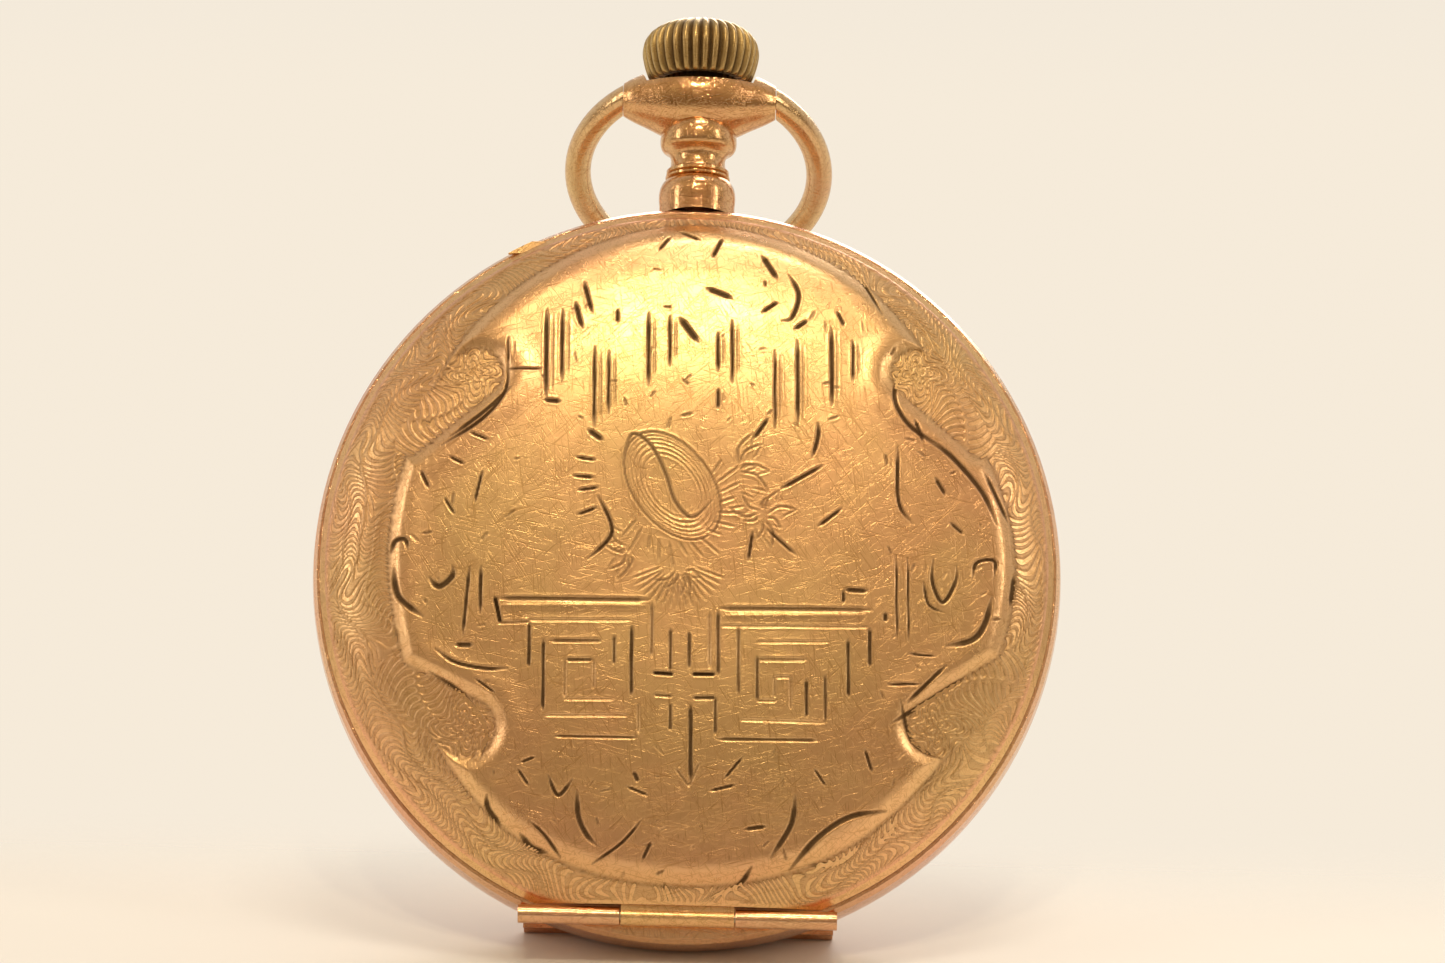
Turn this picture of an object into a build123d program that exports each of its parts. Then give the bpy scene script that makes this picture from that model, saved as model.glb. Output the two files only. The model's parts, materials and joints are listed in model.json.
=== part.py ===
"""A hunter-case pocket watch: engraved double-lid case, pendant, crown and bow, with its lever movement.

Everything is modelled on the bench: the watch lies on its dial, X to the right, Y towards the crown and
Z up towards the back cover. The last section stands it up, so that the crown points to +Z and the back
cover faces -Y. The origin is the centre of the case, where the centre arbor crosses the middle plane.
"""

from build123d import *
import os
from math import acos, asin, atan2, cos, degrees, hypot, pi, radians, sin, sqrt

# ---- driving dimensions, millimetres and degrees ----
CASE_R = 26.0            # case band, outside at the middle
BAND_HALF = 3.2          # half the height of the band
LID_R = 25.2             # rim of either lid
LID_APEX = 7.4           # height of the flat at the middle of a lid
LID_FLAT_R = 7.0
DOME_R, SHOULDER_R = 70.0, 10.77
LID_WALL = 0.6
PLATE_R = 21.6           # sixteen-size pillar plate
PLATE_TOP, PLATE_BOTTOM = -0.6, -2.4
DIAL_TOP, DIAL_BOTTOM = -3.0, -3.4
FIT = 0.02               # all round a screw or a jewel in its hole

PIVOT_Y = 34.65          # axis that the bow swings on
BOW_R, BOW_WIRE = 8.85, 0.95
HEAD_HALF = 5.45         # half the width of the pendant's head
SLEEVE_R = 1.5           # sleeve that guides the winding stem inside the pendant
BOW_LEAN = 58.0          # how far the bow hangs back from straight down

HINGE_Y, HINGE_Z, HINGE_R, HINGE_PIN_R = -24.05, 4.05, 0.62, 0.28
HINGE_HALF, KNUCKLE_HALF = 10.7, 3.8
HINGE_CUT = -23.3        # straight edge of a lid beside its hinge
INNER_Y, INNER_Z, INNER_R, INNER_PIN_R = -22.05, 3.68, 0.42, 0.2

# tooth counts
BARREL_Z, CENTRE_PINION_Z, CENTRE_Z, THIRD_PINION_Z, THIRD_Z = 80, 10, 80, 10, 75
FOURTH_PINION_Z, FOURTH_Z, ESCAPE_PINION_Z, ESCAPE_Z = 10, 80, 8, 15
CANNON_Z, MINUTE_Z, MINUTE_PINION_Z, HOUR_Z, SETTING_Z = 12, 36, 10, 40, 48
WINDING_Z, CROWN_WHEEL_Z, RATCHET_Z = 14, 28, 40
# modules
M_BARREL, M_CENTRE, M_THIRD, M_FOURTH, M_CANNON, M_WIND = 0.22, 0.16, 0.13, 0.12, 0.16, 0.28
M_HOUR = M_CANNON * (CANNON_Z + MINUTE_Z) / (MINUTE_PINION_Z + HOUR_Z)


def apart(module, z_a, z_b):
    """Centre distance of two meshing gears."""
    return module * (z_a + z_b) / 2


def polar(origin, distance, degrees_round):
    a = radians(degrees_round)
    return (origin[0] + distance * cos(a), origin[1] + distance * sin(a))


# ---- where each arbor stands on the plate ----
CENTRE = (0.0, 0.0)
BARREL = polar(CENTRE, apart(M_BARREL, BARREL_Z, CENTRE_PINION_Z), 40)
FOURTH = (-10.5, 0.0)
CENTRE_THIRD = apart(M_CENTRE, CENTRE_Z, THIRD_PINION_Z)
THIRD_FOURTH = apart(M_THIRD, THIRD_Z, FOURTH_PINION_Z)
THIRD_ANGLE = degrees(
    acos((CENTRE_THIRD**2 + FOURTH[0] ** 2 - THIRD_FOURTH**2) / (-2 * CENTRE_THIRD * FOURTH[0]))
)
THIRD = polar(CENTRE, CENTRE_THIRD, 180 - THIRD_ANGLE)
ESCAPE = polar(FOURTH, apart(M_FOURTH, FOURTH_Z, ESCAPE_PINION_Z), -70)
ESCAPE_R = 3.6
LINE_ANGLE = -45.0       # the line from escape wheel through pallets to balance
PALLET = polar(ESCAPE, ESCAPE_R / cos(radians(30)), LINE_ANGLE)
BALANCE = polar(PALLET, 5.4, LINE_ANGLE)
RATCHET_CROWN = apart(M_WIND, RATCHET_Z, CROWN_WHEEL_Z)
CROWN_WHEEL = (0.0, BARREL[1] + sqrt(RATCHET_CROWN**2 - BARREL[0] ** 2))
WIND_MESH_Y = CROWN_WHEEL[1] + M_WIND * CROWN_WHEEL_Z / 2
MINUTE = polar(CENTRE, apart(M_CANNON, CANNON_Z, MINUTE_Z), 60)
SETTING = (0.0, MINUTE[1] + sqrt(apart(M_CANNON, MINUTE_Z, SETTING_Z) ** 2 - MINUTE[0] ** 2))
CLICK = (13.6, 11.6)
CLICK_SPRING_FOOT = (17.2, 9.2)
CLUTCH_LEVER = (-4.8, 12.6)
BARREL_POSTS = [(18.2, 1.5), (-6.5, 17.0), (6.5, 18.2)]
TRAIN_POSTS = [(-17.8, 3.5), (-12.5, -14.0), (-14.5, 10.5)]
COCK_FOOT = (9.8, -10.6)
PALLET_FOOT = (-8.1, -10.8)
STUD = polar(BALANCE, 3.75, 60)
BRIDGE_LINE, BRIDGE_NORMAL = 2.6, 55.0   # the gap between the two bridges: offset and direction
BRIDGE_TOP = 2.9
BARREL_BRIDGE_BOTTOM, TRAIN_BRIDGE_BOTTOM = 1.35, 2.0
WHEEL_SEAT = 1.8         # floor that the ratchet and crown wheels turn on
COCK_BOTTOM, COCK_TOP = 2.95, 3.75
MOTION_ROOF = -1.2       # roof of the recess for the motion work, on the dial side of the plate
JEWEL_R = 0.75
CASE_SCREW_ANGLES = (200, 320)
DIAL_FEET = (25, 150, 270)
ESCAPE_PHASE = LINE_ANGLE + 30 + 6
BALANCE_ARM, HAIR_START, REGULATOR_ANGLE = 20.0, 60.0, 135.0
HOUR_ANGLE, MINUTE_ANGLE = 304.5, 54.0
CROWN_R, CROWN_FLUTES = 4.2, 34


# ---- small shapes that everything is made from ----
def disc(radius, low, high, at=(0, 0)):
    return Pos(at[0], at[1], (low + high) / 2) * Cylinder(radius, high - low)


def ring(outer, inner, low, high, at=(0, 0)):
    return disc(outer, low, high, at) - disc(inner, low - 1, high + 1, at)


def block(x, y, z):
    """A box between two values on each axis."""
    size = [abs(v[1] - v[0]) for v in (x, y, z)]
    return Pos(*[(v[0] + v[1]) / 2 for v in (x, y, z)]) * Box(*size)


def turned(points):
    """A solid turned about the Z axis from (radius, height) points."""
    return revolve(make_face(Plane.XZ * Polyline(*points, close=True)), Axis.Z)


def turned_y(points):
    """A solid turned about the Y axis from (radius, height along Y) points."""
    return revolve(make_face(Polyline(*points, close=True)), Axis.Y)


def along_x(radius, x_from, x_to, y, z):
    length = x_to - x_from
    return Pos((x_from + x_to) / 2, y, z) * Rot(0, 90, 0) * Cylinder(radius, length)


def along_y(radius, y_from, y_to, x=0.0, z=0.0):
    return Pos(x, (y_from + y_to) / 2, z) * Rot(90, 0, 0) * Cylinder(radius, y_to - y_from)


def screw(at, low, head_low, head_r, thread_r, head_h):
    """A slotted cheese-head screw, head up."""
    body = disc(thread_r - FIT, low, head_low, at) + disc(head_r, head_low, head_low + head_h, at)
    slot = block((at[0] - 2 * head_r, at[0] + 2 * head_r), (at[1] - 0.12, at[1] + 0.12),
                 (head_low + head_h * 0.55, head_low + head_h + 1))
    return body - slot


def bar(a, b, width, low, high):
    """A straight bar with round ends between two points."""
    length = hypot(b[0] - a[0], b[1] - a[1])
    turn = degrees(atan2(b[1] - a[1], b[0] - a[0]))
    middle = Pos((a[0] + b[0]) / 2, (a[1] + b[1]) / 2, (low + high) / 2)
    straight = middle * Rot(0, 0, turn) * Box(length, width, high - low)
    return straight + disc(width / 2, low, high, a) + disc(width / 2, low, high, b)


def tooth_outline(module, teeth, share, addendum=1.0, dedendum=1.3):
    """Points of one gear outline, with a tooth centred on the X axis."""
    pitch_r = module * teeth / 2
    step = 2 * pi / teeth
    half = share * pi / teeth
    points = []
    for n in range(teeth):
        for radius, lean in (
            (pitch_r - dedendum * module, -1.05 * half),
            (pitch_r, -half),
            (pitch_r + 0.6 * addendum * module, -0.62 * half),
            (pitch_r + addendum * module, 0.0),
            (pitch_r + 0.6 * addendum * module, 0.62 * half),
            (pitch_r, half),
            (pitch_r - dedendum * module, 1.05 * half),
        ):
            a = n * step + lean
            points.append((radius * cos(a), radius * sin(a)))
    return points


def gear(module, teeth, low, high, at, phase=0.0, share=0.42):
    """A spur gear; phase is the direction of a tooth, in degrees."""
    face = make_face(Polyline(*tooth_outline(module, teeth, share), close=True))
    return Pos(at[0], at[1], low) * Rot(0, 0, phase) * extrude(face, high - low)


def in_mesh(at_a, z_a, phase_a, at_b, z_b):
    """The phase that puts gear b's gap opposite gear a's tooth on the line between them."""
    line = degrees(atan2(at_b[1] - at_a[1], at_b[0] - at_a[0]))
    share_a = z_a * (line - phase_a) / 360
    return line + 180 - 360 / z_b * (0.5 - share_a)


def crossings(wheel, at, rim_r, hub_r, arms, low, high, arm_width, phase=0.0):
    """Cuts the windows between the arms of a wheel."""
    windows = ring(rim_r, hub_r, low - 0.5, high + 0.5, at)
    for n in range(arms):
        a = phase + n * 360 / arms
        outer = polar(at, rim_r + 1, a)
        windows -= bar(at, outer, arm_width, low - 1, high + 1)
    return wheel - windows


parts = {}

# ---- phases of every gear, so that all teeth are in mesh at rest ----
barrel_phase = in_mesh(CENTRE, CENTRE_PINION_Z, 0.0, BARREL, BARREL_Z)
third_pinion_phase = in_mesh(CENTRE, CENTRE_Z, 0.0, THIRD, THIRD_PINION_Z)
fourth_pinion_phase = in_mesh(THIRD, THIRD_Z, 0.0, FOURTH, FOURTH_PINION_Z)
escape_pinion_phase = in_mesh(FOURTH, FOURTH_Z, 0.0, ESCAPE, ESCAPE_PINION_Z)
minute_phase = in_mesh(CENTRE, CANNON_Z, 0.0, MINUTE, MINUTE_Z)
hour_phase = in_mesh(MINUTE, MINUTE_PINION_Z, 0.0, CENTRE, HOUR_Z)
setting_phase = in_mesh(MINUTE, MINUTE_Z, minute_phase, SETTING, SETTING_Z)
crown_wheel_phase = 90.0 + 180 / CROWN_WHEEL_Z
ratchet_phase = in_mesh(CROWN_WHEEL, CROWN_WHEEL_Z, crown_wheel_phase, BARREL, RATCHET_Z)


# ---- case band: one turned ring that carries the outer knuckles of all three hinges ----
def case_band():
    band = turned([
        (21.2, -BAND_HALF), (25.45, -BAND_HALF), (25.75, -2.6), (25.93, -1.4), (CASE_R, 0.0),
        (25.93, 1.4), (25.75, 2.6), (25.45, BAND_HALF), (22.9, BAND_HALF), (22.9, PLATE_TOP),
        (PLATE_R + 0.2, PLATE_TOP), (PLATE_R + 0.2, PLATE_BOTTOM), (21.2, PLATE_BOTTOM),
    ])
    for side in (1, -1):
        for x in ((-HINGE_HALF, -KNUCKLE_HALF - 0.1), (KNUCKLE_HALF + 0.1, HINGE_HALF)):
            low, high = sorted((side * (BAND_HALF - 0.6), side * HINGE_Z))
            band += block(x, (HINGE_Y - 0.4, HINGE_Y + HINGE_R), (low, high))
            band += along_x(HINGE_R, x[0], x[1], HINGE_Y, side * HINGE_Z)
        band -= along_x(HINGE_PIN_R, -HINGE_HALF - 1, HINGE_HALF + 1, HINGE_Y, side * HINGE_Z)
        # room for the lid's own knuckle
        band -= along_x(HINGE_R + 0.08, -KNUCKLE_HALF - 0.1, KNUCKLE_HALF + 0.1, HINGE_Y, side * HINGE_Z)
    for x in ((-5.0, -2.1), (2.1, 5.0)):
        band += block(x, (-23.2, INNER_Y + INNER_R), (2.4, BAND_HALF))
        band += block(x, (INNER_Y - INNER_R, INNER_Y + INNER_R), (BAND_HALF, INNER_Z))
        band += along_x(INNER_R, x[0], x[1], INNER_Y, INNER_Z)
    band -= along_x(INNER_PIN_R, -6, 6, INNER_Y, INNER_Z)
    band -= along_y(1.5, 20, 27)
    # slot that the lid catch reaches through
    band -= block((-1.9, 1.9), (21.5, 24.2), (-4.0, -0.5))
    return band


parts["case_band"] = case_band()


# ---- lids: a flat at the middle, a shallow dome and a rounder shoulder ----
def dome_solid(inset, low):
    """A solid dome inset by a wall, standing on the height low."""
    big, small = DOME_R - inset, SHOULDER_R - inset
    lean_1, lean_2 = asin(13.0 / DOME_R), radians(42)
    mid_1, mid_2 = lean_1 / 2, (lean_1 + lean_2) / 2
    low_1 = LID_APEX - DOME_R
    reach = DOME_R - SHOULDER_R
    shoulder = (LID_FLAT_R + reach * sin(lean_1), low_1 + reach * cos(lean_1))
    top = (0.0, LID_APEX - inset)
    flat_end = (LID_FLAT_R, LID_APEX - inset)
    dome_mid = (LID_FLAT_R + big * sin(mid_1), low_1 + big * cos(mid_1))
    dome_end = (LID_FLAT_R + big * sin(lean_1), low_1 + big * cos(lean_1))
    shoulder_mid = (shoulder[0] + small * sin(mid_2), shoulder[1] + small * cos(mid_2))
    rim = (shoulder[0] + small * sin(lean_2), shoulder[1] + small * cos(lean_2))
    outline = Wire([
        Line((0, low), top),
        Line(top, flat_end),
        ThreePointArc(flat_end, dome_mid, dome_end),
        ThreePointArc(dome_end, shoulder_mid, rim),
        Line(rim, (rim[0], low)),
        Line((rim[0], low), (0, low)),
    ])
    return revolve(Plane.XZ * make_face(outline), Axis.Z)


def lid():
    """Dome with a straight hinge edge, the web under it and the middle knuckle."""
    low = BAND_HALF + 0.05
    outer = dome_solid(0, low)
    shell = (outer - dome_solid(LID_WALL, low - 1)) & block((-30, 30), (HINGE_CUT, 30), (0, 20))
    edge = outer & block((-9.6, 9.6), (HINGE_CUT, HINGE_CUT + 0.5), (0, 20))
    web = block((-KNUCKLE_HALF, KNUCKLE_HALF), (HINGE_Y + 0.1, HINGE_CUT + 0.5), (HINGE_Z - 0.3, HINGE_Z + 0.5))
    knuckle = along_x(HINGE_R, -KNUCKLE_HALF, KNUCKLE_HALF, HINGE_Y, HINGE_Z)
    whole = shell + edge + web + knuckle
    return whole - along_x(HINGE_PIN_R + 0.03, -5, 5, HINGE_Y, HINGE_Z)


# a small lip at the crown side takes the thumbnail
thumb_lip = block((-13.2, -9.6), (22.0, 22.9), (BAND_HALF + 0.05, BAND_HALF + 0.45))
thumb_lip &= disc(LID_R + 0.4, 0, 5)
parts["back_cover"] = lid() + thumb_lip
parts["front_lid"] = Rot(0, 180, 0) * lid()
for name, side in (("back_hinge_pin", 1), ("front_hinge_pin", -1)):
    parts[name] = along_x(HINGE_PIN_R, -HINGE_HALF + 0.15, HINGE_HALF - 0.15, HINGE_Y, side * HINGE_Z)


# ---- inner dust cover, hinged inside the back cover ----
def inner_cover():
    shell = turned([
        (0, 4.5), (17.0, 4.5), (20.6, 3.95), (22.4, 3.22), (23.4, 3.22), (23.4, 3.5),
        (22.5, 3.55), (20.7, 4.32), (17.05, 4.88), (0, 4.88),
    ])
    shell &= block((-30, 30), (-21.5, 30), (0, 20))
    edge = block((-8.4, 8.4), (-21.5, -21.1), (3.25, 4.0))
    web = block((-1.95, 1.95), (INNER_Y + 0.05, -21.1), (INNER_Z - 0.12, INNER_Z + 0.3))
    knuckle = along_x(INNER_R, -1.95, 1.95, INNER_Y, INNER_Z)
    lip = block((7.6, 10.2), (20.4, 21.6), (3.25, 3.75))
    return (shell + edge + web + knuckle + lip) - along_x(INNER_PIN_R + 0.03, -3, 3, INNER_Y, INNER_Z)


parts["inner_cover"] = inner_cover()
parts["inner_hinge_pin"] = along_x(INNER_PIN_R, -4.9, 4.9, INNER_Y, INNER_Z)

# ---- bezel and crystal, under the front lid ----
bezel = turned([
    (21.3, -BAND_HALF), (22.6, -BAND_HALF), (22.5, -3.9), (22.0, -4.3), (20.3, -4.55), (20.3, -4.3), (21.3, -4.0),
])
parts["bezel"] = bezel - block((-2.0, 2.0), (21.6, 24), (-5, -3))
parts["crystal"] = turned([
    (0, -5.35), (7, -5.26), (14, -4.98), (18, -4.73), (20.3, -4.5),
    (20.3, -4.2), (18, -4.4), (14, -4.64), (7, -4.9), (0, -4.99),
])


# ---- pendant: turned neck under a spindle-shaped head that the bow and the crown sit in ----
def pendant():
    profile = Polyline((0, 34.0), (0, 25.2), (2.69, 25.2), (2.69, 26.7))
    profile += Spline((2.69, 26.7), (2.74, 27.4), (2.62, 28.1), (2.24, 28.62))
    profile += Polyline((2.24, 28.62), (2.1, 28.66), (2.3, 28.78), (2.3, 28.92), (2.08, 29.02), (2.24, 29.12),
                        (2.24, 29.34), (2.06, 29.44))
    profile += Spline((2.06, 29.44), (1.94, 29.9), (2.0, 30.4), (2.3, 30.75))
    profile += Spline((2.3, 30.75), (2.62, 30.98), (2.74, 31.5), (2.66, 32.2), (2.3, 32.9))
    profile += Polyline((2.3, 32.9), (2.3, 34.0), (0, 34.0))
    neck = revolve(make_face(profile), Axis.Y)
    half = Line((0, 0), (-HEAD_HALF, 0)) + Line((-HEAD_HALF, 0), (-HEAD_HALF, 1.2))
    half += Spline((-HEAD_HALF, 1.2), (-4.6, 1.66), (-3.7, 2.06), (-2.6, 2.58), (-1.4, 2.92), (0, 3.05))
    half += Line((0, 3.05), (0, 0))
    head = revolve(make_face(half), Axis.X)
    head = Pos(0, PIVOT_Y, 0) * (head + mirror(head, Plane.YZ))
    body = neck + head
    body -= disc(CASE_R, -5, 5)
    body += along_y(1.5, 23.1, CASE_R + 0.6)
    body -= along_y(4.2, PIVOT_Y + 0.92, 60)
    body -= along_y(1.0, 20, 28)
    body -= along_y(SLEEVE_R, 27.0, 60)
    for side in (1, -1):
        low, high = sorted((side * 4.6, side * 6))
        body -= along_x(0.5, low, high, PIVOT_Y, 0)
    return body


parts["pendant"] = pendant()
parts["pendant_sleeve"] = along_y(SLEEVE_R, 27.0, 36.9) - along_y(1.05, 26, 38)


# ---- crown: fluted gold shell, filling core and the stem with its square end ----
def crown_shell():
    side = Line((0, 40.4), (0.4, 40.4))
    side += Spline((0.4, 40.4), (1.9, 40.28), (2.9, 40.0), (3.68, 39.5), (4.08, 38.9), (CROWN_R, 38.2),
                   (4.08, 37.4), (3.86, 36.65), (3.5, 36.0))
    side += Polyline((3.5, 36.0), (2.9, 36.0), (2.9, 38.6), (0, 38.6), (0, 40.4))
    shell = revolve(make_face(side), Axis.Y)
    for n in range(CROWN_FLUTES):
        shell -= Rot(0, n * 360 / CROWN_FLUTES, 0) * along_y(0.24, 35.0, 39.45, CROWN_R + 0.08)
    return shell


parts["crown_shell"] = crown_shell()
parts["crown_core"] = along_y(2.9, 37.9, 38.6) + along_y(1.5, 37.4, 37.9) - along_y(0.8, 36, 38.3)
stem = along_y(0.8, 21.5, 38.3)
stem += block((-0.42, 0.42), (17.9, 21.6), (-0.42, 0.42))
parts["crown_stem"] = stem


# ---- bow: round wire, with a pin at each end that turns in the pendant's head ----
def bow():
    centre_drop = sqrt(BOW_R**2 - HEAD_HALF**2)
    gap = degrees(asin((HEAD_HALF - 1.2) / BOW_R))
    path = CenterArc((0, centre_drop), BOW_R, 270 + gap, 360 - 2 * gap)
    start = path @ 0
    hoop = sweep(Plane(origin=start, z_dir=path % 0) * Circle(BOW_WIRE), path=path)
    hoop -= block((-HEAD_HALF - 0.05, HEAD_HALF + 0.05), (-4, 4), (-3, 3))
    for side in (1, -1):
        low, high = sorted((side * 4.7, side * 6.0))
        hoop += along_x(0.45, low, high, 0, 0)
    return Pos(0, PIVOT_Y, 0) * Rot(180 + BOW_LEAN, 0, 0) * hoop


parts["bow"] = bow()


# ---- springs in the rim and the screws that hold the movement in the case ----
def rim_spring(start, end, low, high):
    """A flat steel spring bent to the inside of the rim."""
    face = Pos(0, 0, low) * make_face(Polyline(*(
        [polar((0, 0), 22.85, start + (end - start) * n / 24) for n in range(25)]
        + [polar((0, 0), 22.3, end - (end - start) * n / 24) for n in range(25)]
    ), close=True))
    return extrude(face, high - low)


lock = rim_spring(62, 108, -0.5, 1.7) + block((-1.7, 1.7), (22.2, 22.85), (-3.5, 0))
lock += block((-1.7, 1.7), (22.2, 23.9), (-3.85, -3.45))
parts["lock_spring"] = lock - along_y(1.55, 20, 25)
parts["lift_spring"] = rim_spring(196, 250, -0.55, 1.9)
parts["case_screws"] = Compound(children=[
    screw(polar(CENTRE, 20.5, a), -2.0, PLATE_TOP, 1.7, 0.5, 0.5) for a in CASE_SCREW_ANGLES
])

# ---- main plate with its pillars, studs and the channel for the winding work ----
plate = disc(PLATE_R, PLATE_BOTTOM, PLATE_TOP)
for post in BARREL_POSTS:
    plate += disc(1.3, PLATE_TOP - 0.2, BARREL_BRIDGE_BOTTOM, post)
for post in TRAIN_POSTS:
    plate += disc(1.3, PLATE_TOP - 0.2, TRAIN_BRIDGE_BOTTOM, post)
plate += block((-2.6, 2.6), (17.2, 20.4), (PLATE_TOP - 0.2, BARREL_BRIDGE_BOTTOM))
plate += disc(0.5, PLATE_TOP - 0.2, 0.6, CLUTCH_LEVER)
for at, radius in ((CENTRE, 3.5), (MINUTE, 3.3), (SETTING, 4.25)):
    plate -= disc(radius, -3, MOTION_ROOF, at)
plate += disc(0.35, -2.3, MOTION_ROOF + 0.2, MINUTE)
plate += disc(0.35, -2.3, MOTION_ROOF + 0.2, SETTING)
plate -= along_y(1.4, 12.3, 15.7)
plate -= along_y(2.4, 15.6, 16.95)
plate -= along_y(1.16, 16.9, 22)
plate -= disc(0.75, -1.7, 0, BARREL)
plate -= disc(0.5, -3, 0, CENTRE)
plate -= disc(0.3, -3, 0, FOURTH)
for at in (THIRD, ESCAPE, PALLET, BALANCE, FOURTH):
    plate -= disc(JEWEL_R, PLATE_TOP - 0.5, 0, at)
for at in (THIRD, ESCAPE, PALLET, BALANCE):
    plate -= disc(0.2, PLATE_TOP - 0.9, 0, at)
for at in BARREL_POSTS + TRAIN_POSTS:
    plate -= disc(0.5, -1.5, 3, at)
for a in CASE_SCREW_ANGLES:
    plate -= disc(0.5, -2.1, 0, polar(CENTRE, 20.5, a))
for at in (COCK_FOOT, PALLET_FOOT):
    plate -= disc(0.4, -1.5, 0, at)
for a in DIAL_FEET:
    plate -= disc(0.4, -3, -1.6, polar(CENTRE, 19.6, a))
parts["main_plate"] = plate

# ---- bridges and cocks ----
half_plane = Rot(0, 0, BRIDGE_NORMAL) * block((BRIDGE_LINE, 60), (-40, 40), (-10, 10))
other_half = Rot(0, 0, BRIDGE_NORMAL) * block((-60, BRIDGE_LINE - 0.3), (-40, 40), (-10, 10))
bridge_disc = disc(21.0, BARREL_BRIDGE_BOTTOM, BRIDGE_TOP)

barrel_bridge = bridge_disc & half_plane
barrel_bridge -= disc(5.95, WHEEL_SEAT, 5, BARREL)
barrel_bridge -= disc(4.3, WHEEL_SEAT, 5, CROWN_WHEEL)
barrel_bridge += disc(1.1, WHEEL_SEAT - 0.1, WHEEL_SEAT + 0.7, CROWN_WHEEL)
barrel_bridge -= disc(0.75, 0, 5, BARREL)
barrel_bridge -= disc(0.5, 1.2, 5, CROWN_WHEEL)
barrel_bridge -= block((-2.45, 2.45), (15.6, 16.95), (0, 2.4))
barrel_bridge -= disc(3.4, WHEEL_SEAT, 5, CLICK)
barrel_bridge -= bar(CLICK, CLICK_SPRING_FOOT, 3.0, WHEEL_SEAT, 5)
for post in BARREL_POSTS:
    barrel_bridge -= disc(0.5, 0, 5, post) + disc(1.1, BRIDGE_TOP - 0.3, 5, post)
barrel_bridge -= disc(0.5, 0, 5, CLICK)
barrel_bridge -= disc(0.35, 0, 5, CLICK_SPRING_FOOT)
parts["barrel_bridge"] = barrel_bridge

train_outline = [
    (-24, 19.2), (6.3, -1.4), (4.6, -4.0), (-1.9, -5.0), (-9.5, -15.0), (-16, -22.0), (-26, -22.0), (-26, 19.2),
]
train_blank = Pos(0, 0, TRAIN_BRIDGE_BOTTOM) * extrude(make_face(Polyline(*train_outline, close=True)), 0.9)
train_bridge = train_blank & disc(21.0, 0, 5) & other_half
train_bridge -= disc(8.4, 0, 5, BALANCE)
for at in (THIRD, FOURTH, ESCAPE):
    train_bridge -= disc(JEWEL_R, BRIDGE_TOP - 0.45, 5, at) + disc(0.2, 0, 5, at)
train_bridge -= disc(0.3, 0, 5, CENTRE)
for post in TRAIN_POSTS:
    train_bridge -= disc(0.5, 0, 5, post) + disc(1.1, BRIDGE_TOP - 0.3, 5, post)
parts["train_bridge"] = train_bridge

cock = disc(3.3, PLATE_TOP, COCK_TOP, COCK_FOOT) + bar(COCK_FOOT, BALANCE, 3.6, COCK_BOTTOM, COCK_TOP)
cock += disc(2.9, COCK_BOTTOM, COCK_TOP, BALANCE)
cock -= disc(JEWEL_R, COCK_TOP - 0.45, 5, BALANCE) + disc(0.2, 0, 5, BALANCE)
cock -= disc(0.4, -1, 5, COCK_FOOT) + disc(1.0, COCK_TOP - 0.3, 5, COCK_FOOT)
cock -= disc(0.3, 0, 5, STUD)
parts["balance_cock"] = cock

pallet_cock = disc(1.0, PLATE_TOP, 1.6, PALLET_FOOT) + bar(PALLET_FOOT, PALLET, 1.7, 1.3, 1.6)
pallet_cock -= disc(0.2, 0, 5, PALLET) + disc(0.4, -1, 5, PALLET_FOOT)
parts["pallet_cock"] = pallet_cock

# ---- jewels and screws ----
parts["plate_jewels"] = Compound(children=[
    ring(JEWEL_R - FIT, 0.28 if at == FOURTH else 0.18, PLATE_TOP - 0.5, PLATE_TOP - 0.02, at)
    for at in (THIRD, FOURTH, ESCAPE, PALLET, BALANCE)
])
parts["bridge_jewels"] = Compound(children=[
    ring(JEWEL_R - FIT, 0.18, top - 0.45, top - 0.02, at)
    for at, top in ((THIRD, BRIDGE_TOP), (FOURTH, BRIDGE_TOP), (ESCAPE, BRIDGE_TOP), (BALANCE, COCK_TOP))
])
screws = [screw(at, -1.4, BRIDGE_TOP - 0.3, 1.1, 0.5, 0.55) for at in BARREL_POSTS + TRAIN_POSTS]
screws.append(screw(COCK_FOOT, -1.4, COCK_TOP - 0.3, 1.0, 0.4, 0.5))
screws.append(screw(PALLET_FOOT, -1.4, 1.6, 0.7, 0.4, 0.2))
screws.append(screw(CROWN_WHEEL, WHEEL_SEAT - 0.4, WHEEL_SEAT + 0.7, 1.9, 0.5, 0.3))
screws.append(screw(CLICK, WHEEL_SEAT - 0.4, WHEEL_SEAT + 0.72, 1.0, 0.5, 0.35))
screws.append(screw(CLICK_SPRING_FOOT, WHEEL_SEAT - 0.4, WHEEL_SEAT + 0.5, 0.65, 0.35, 0.35))
parts["bridge_screws"] = Compound(children=screws)

# ---- barrel, mainspring and winding work ----
drum = gear(M_BARREL, BARREL_Z, -0.05, 0.55, BARREL, barrel_phase) + disc(8.3, -0.05, 1.0, BARREL)
parts["barrel"] = drum - disc(7.6, 0.2, 2, BARREL) - disc(0.8, -1, 1, BARREL)
parts["barrel_cover"] = ring(8.0, 0.8, 1.0, 1.2, BARREL)


def spiral(at, r_from, r_to, turns, width, low, high, start=0.0):
    """A flat spiral spring lying between two heights."""
    count = int(turns * 28)
    rows = [(r_from + (r_to - r_from) * n / count, start + 360 * turns * n / count) for n in range(count + 1)]
    outer = [polar(at, r + width / 2, a) for r, a in rows]
    inner = [polar(at, r - width / 2, a) for r, a in reversed(rows)]
    return Pos(0, 0, low) * extrude(make_face(Polyline(*(outer + inner), close=True)), high - low)


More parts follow.
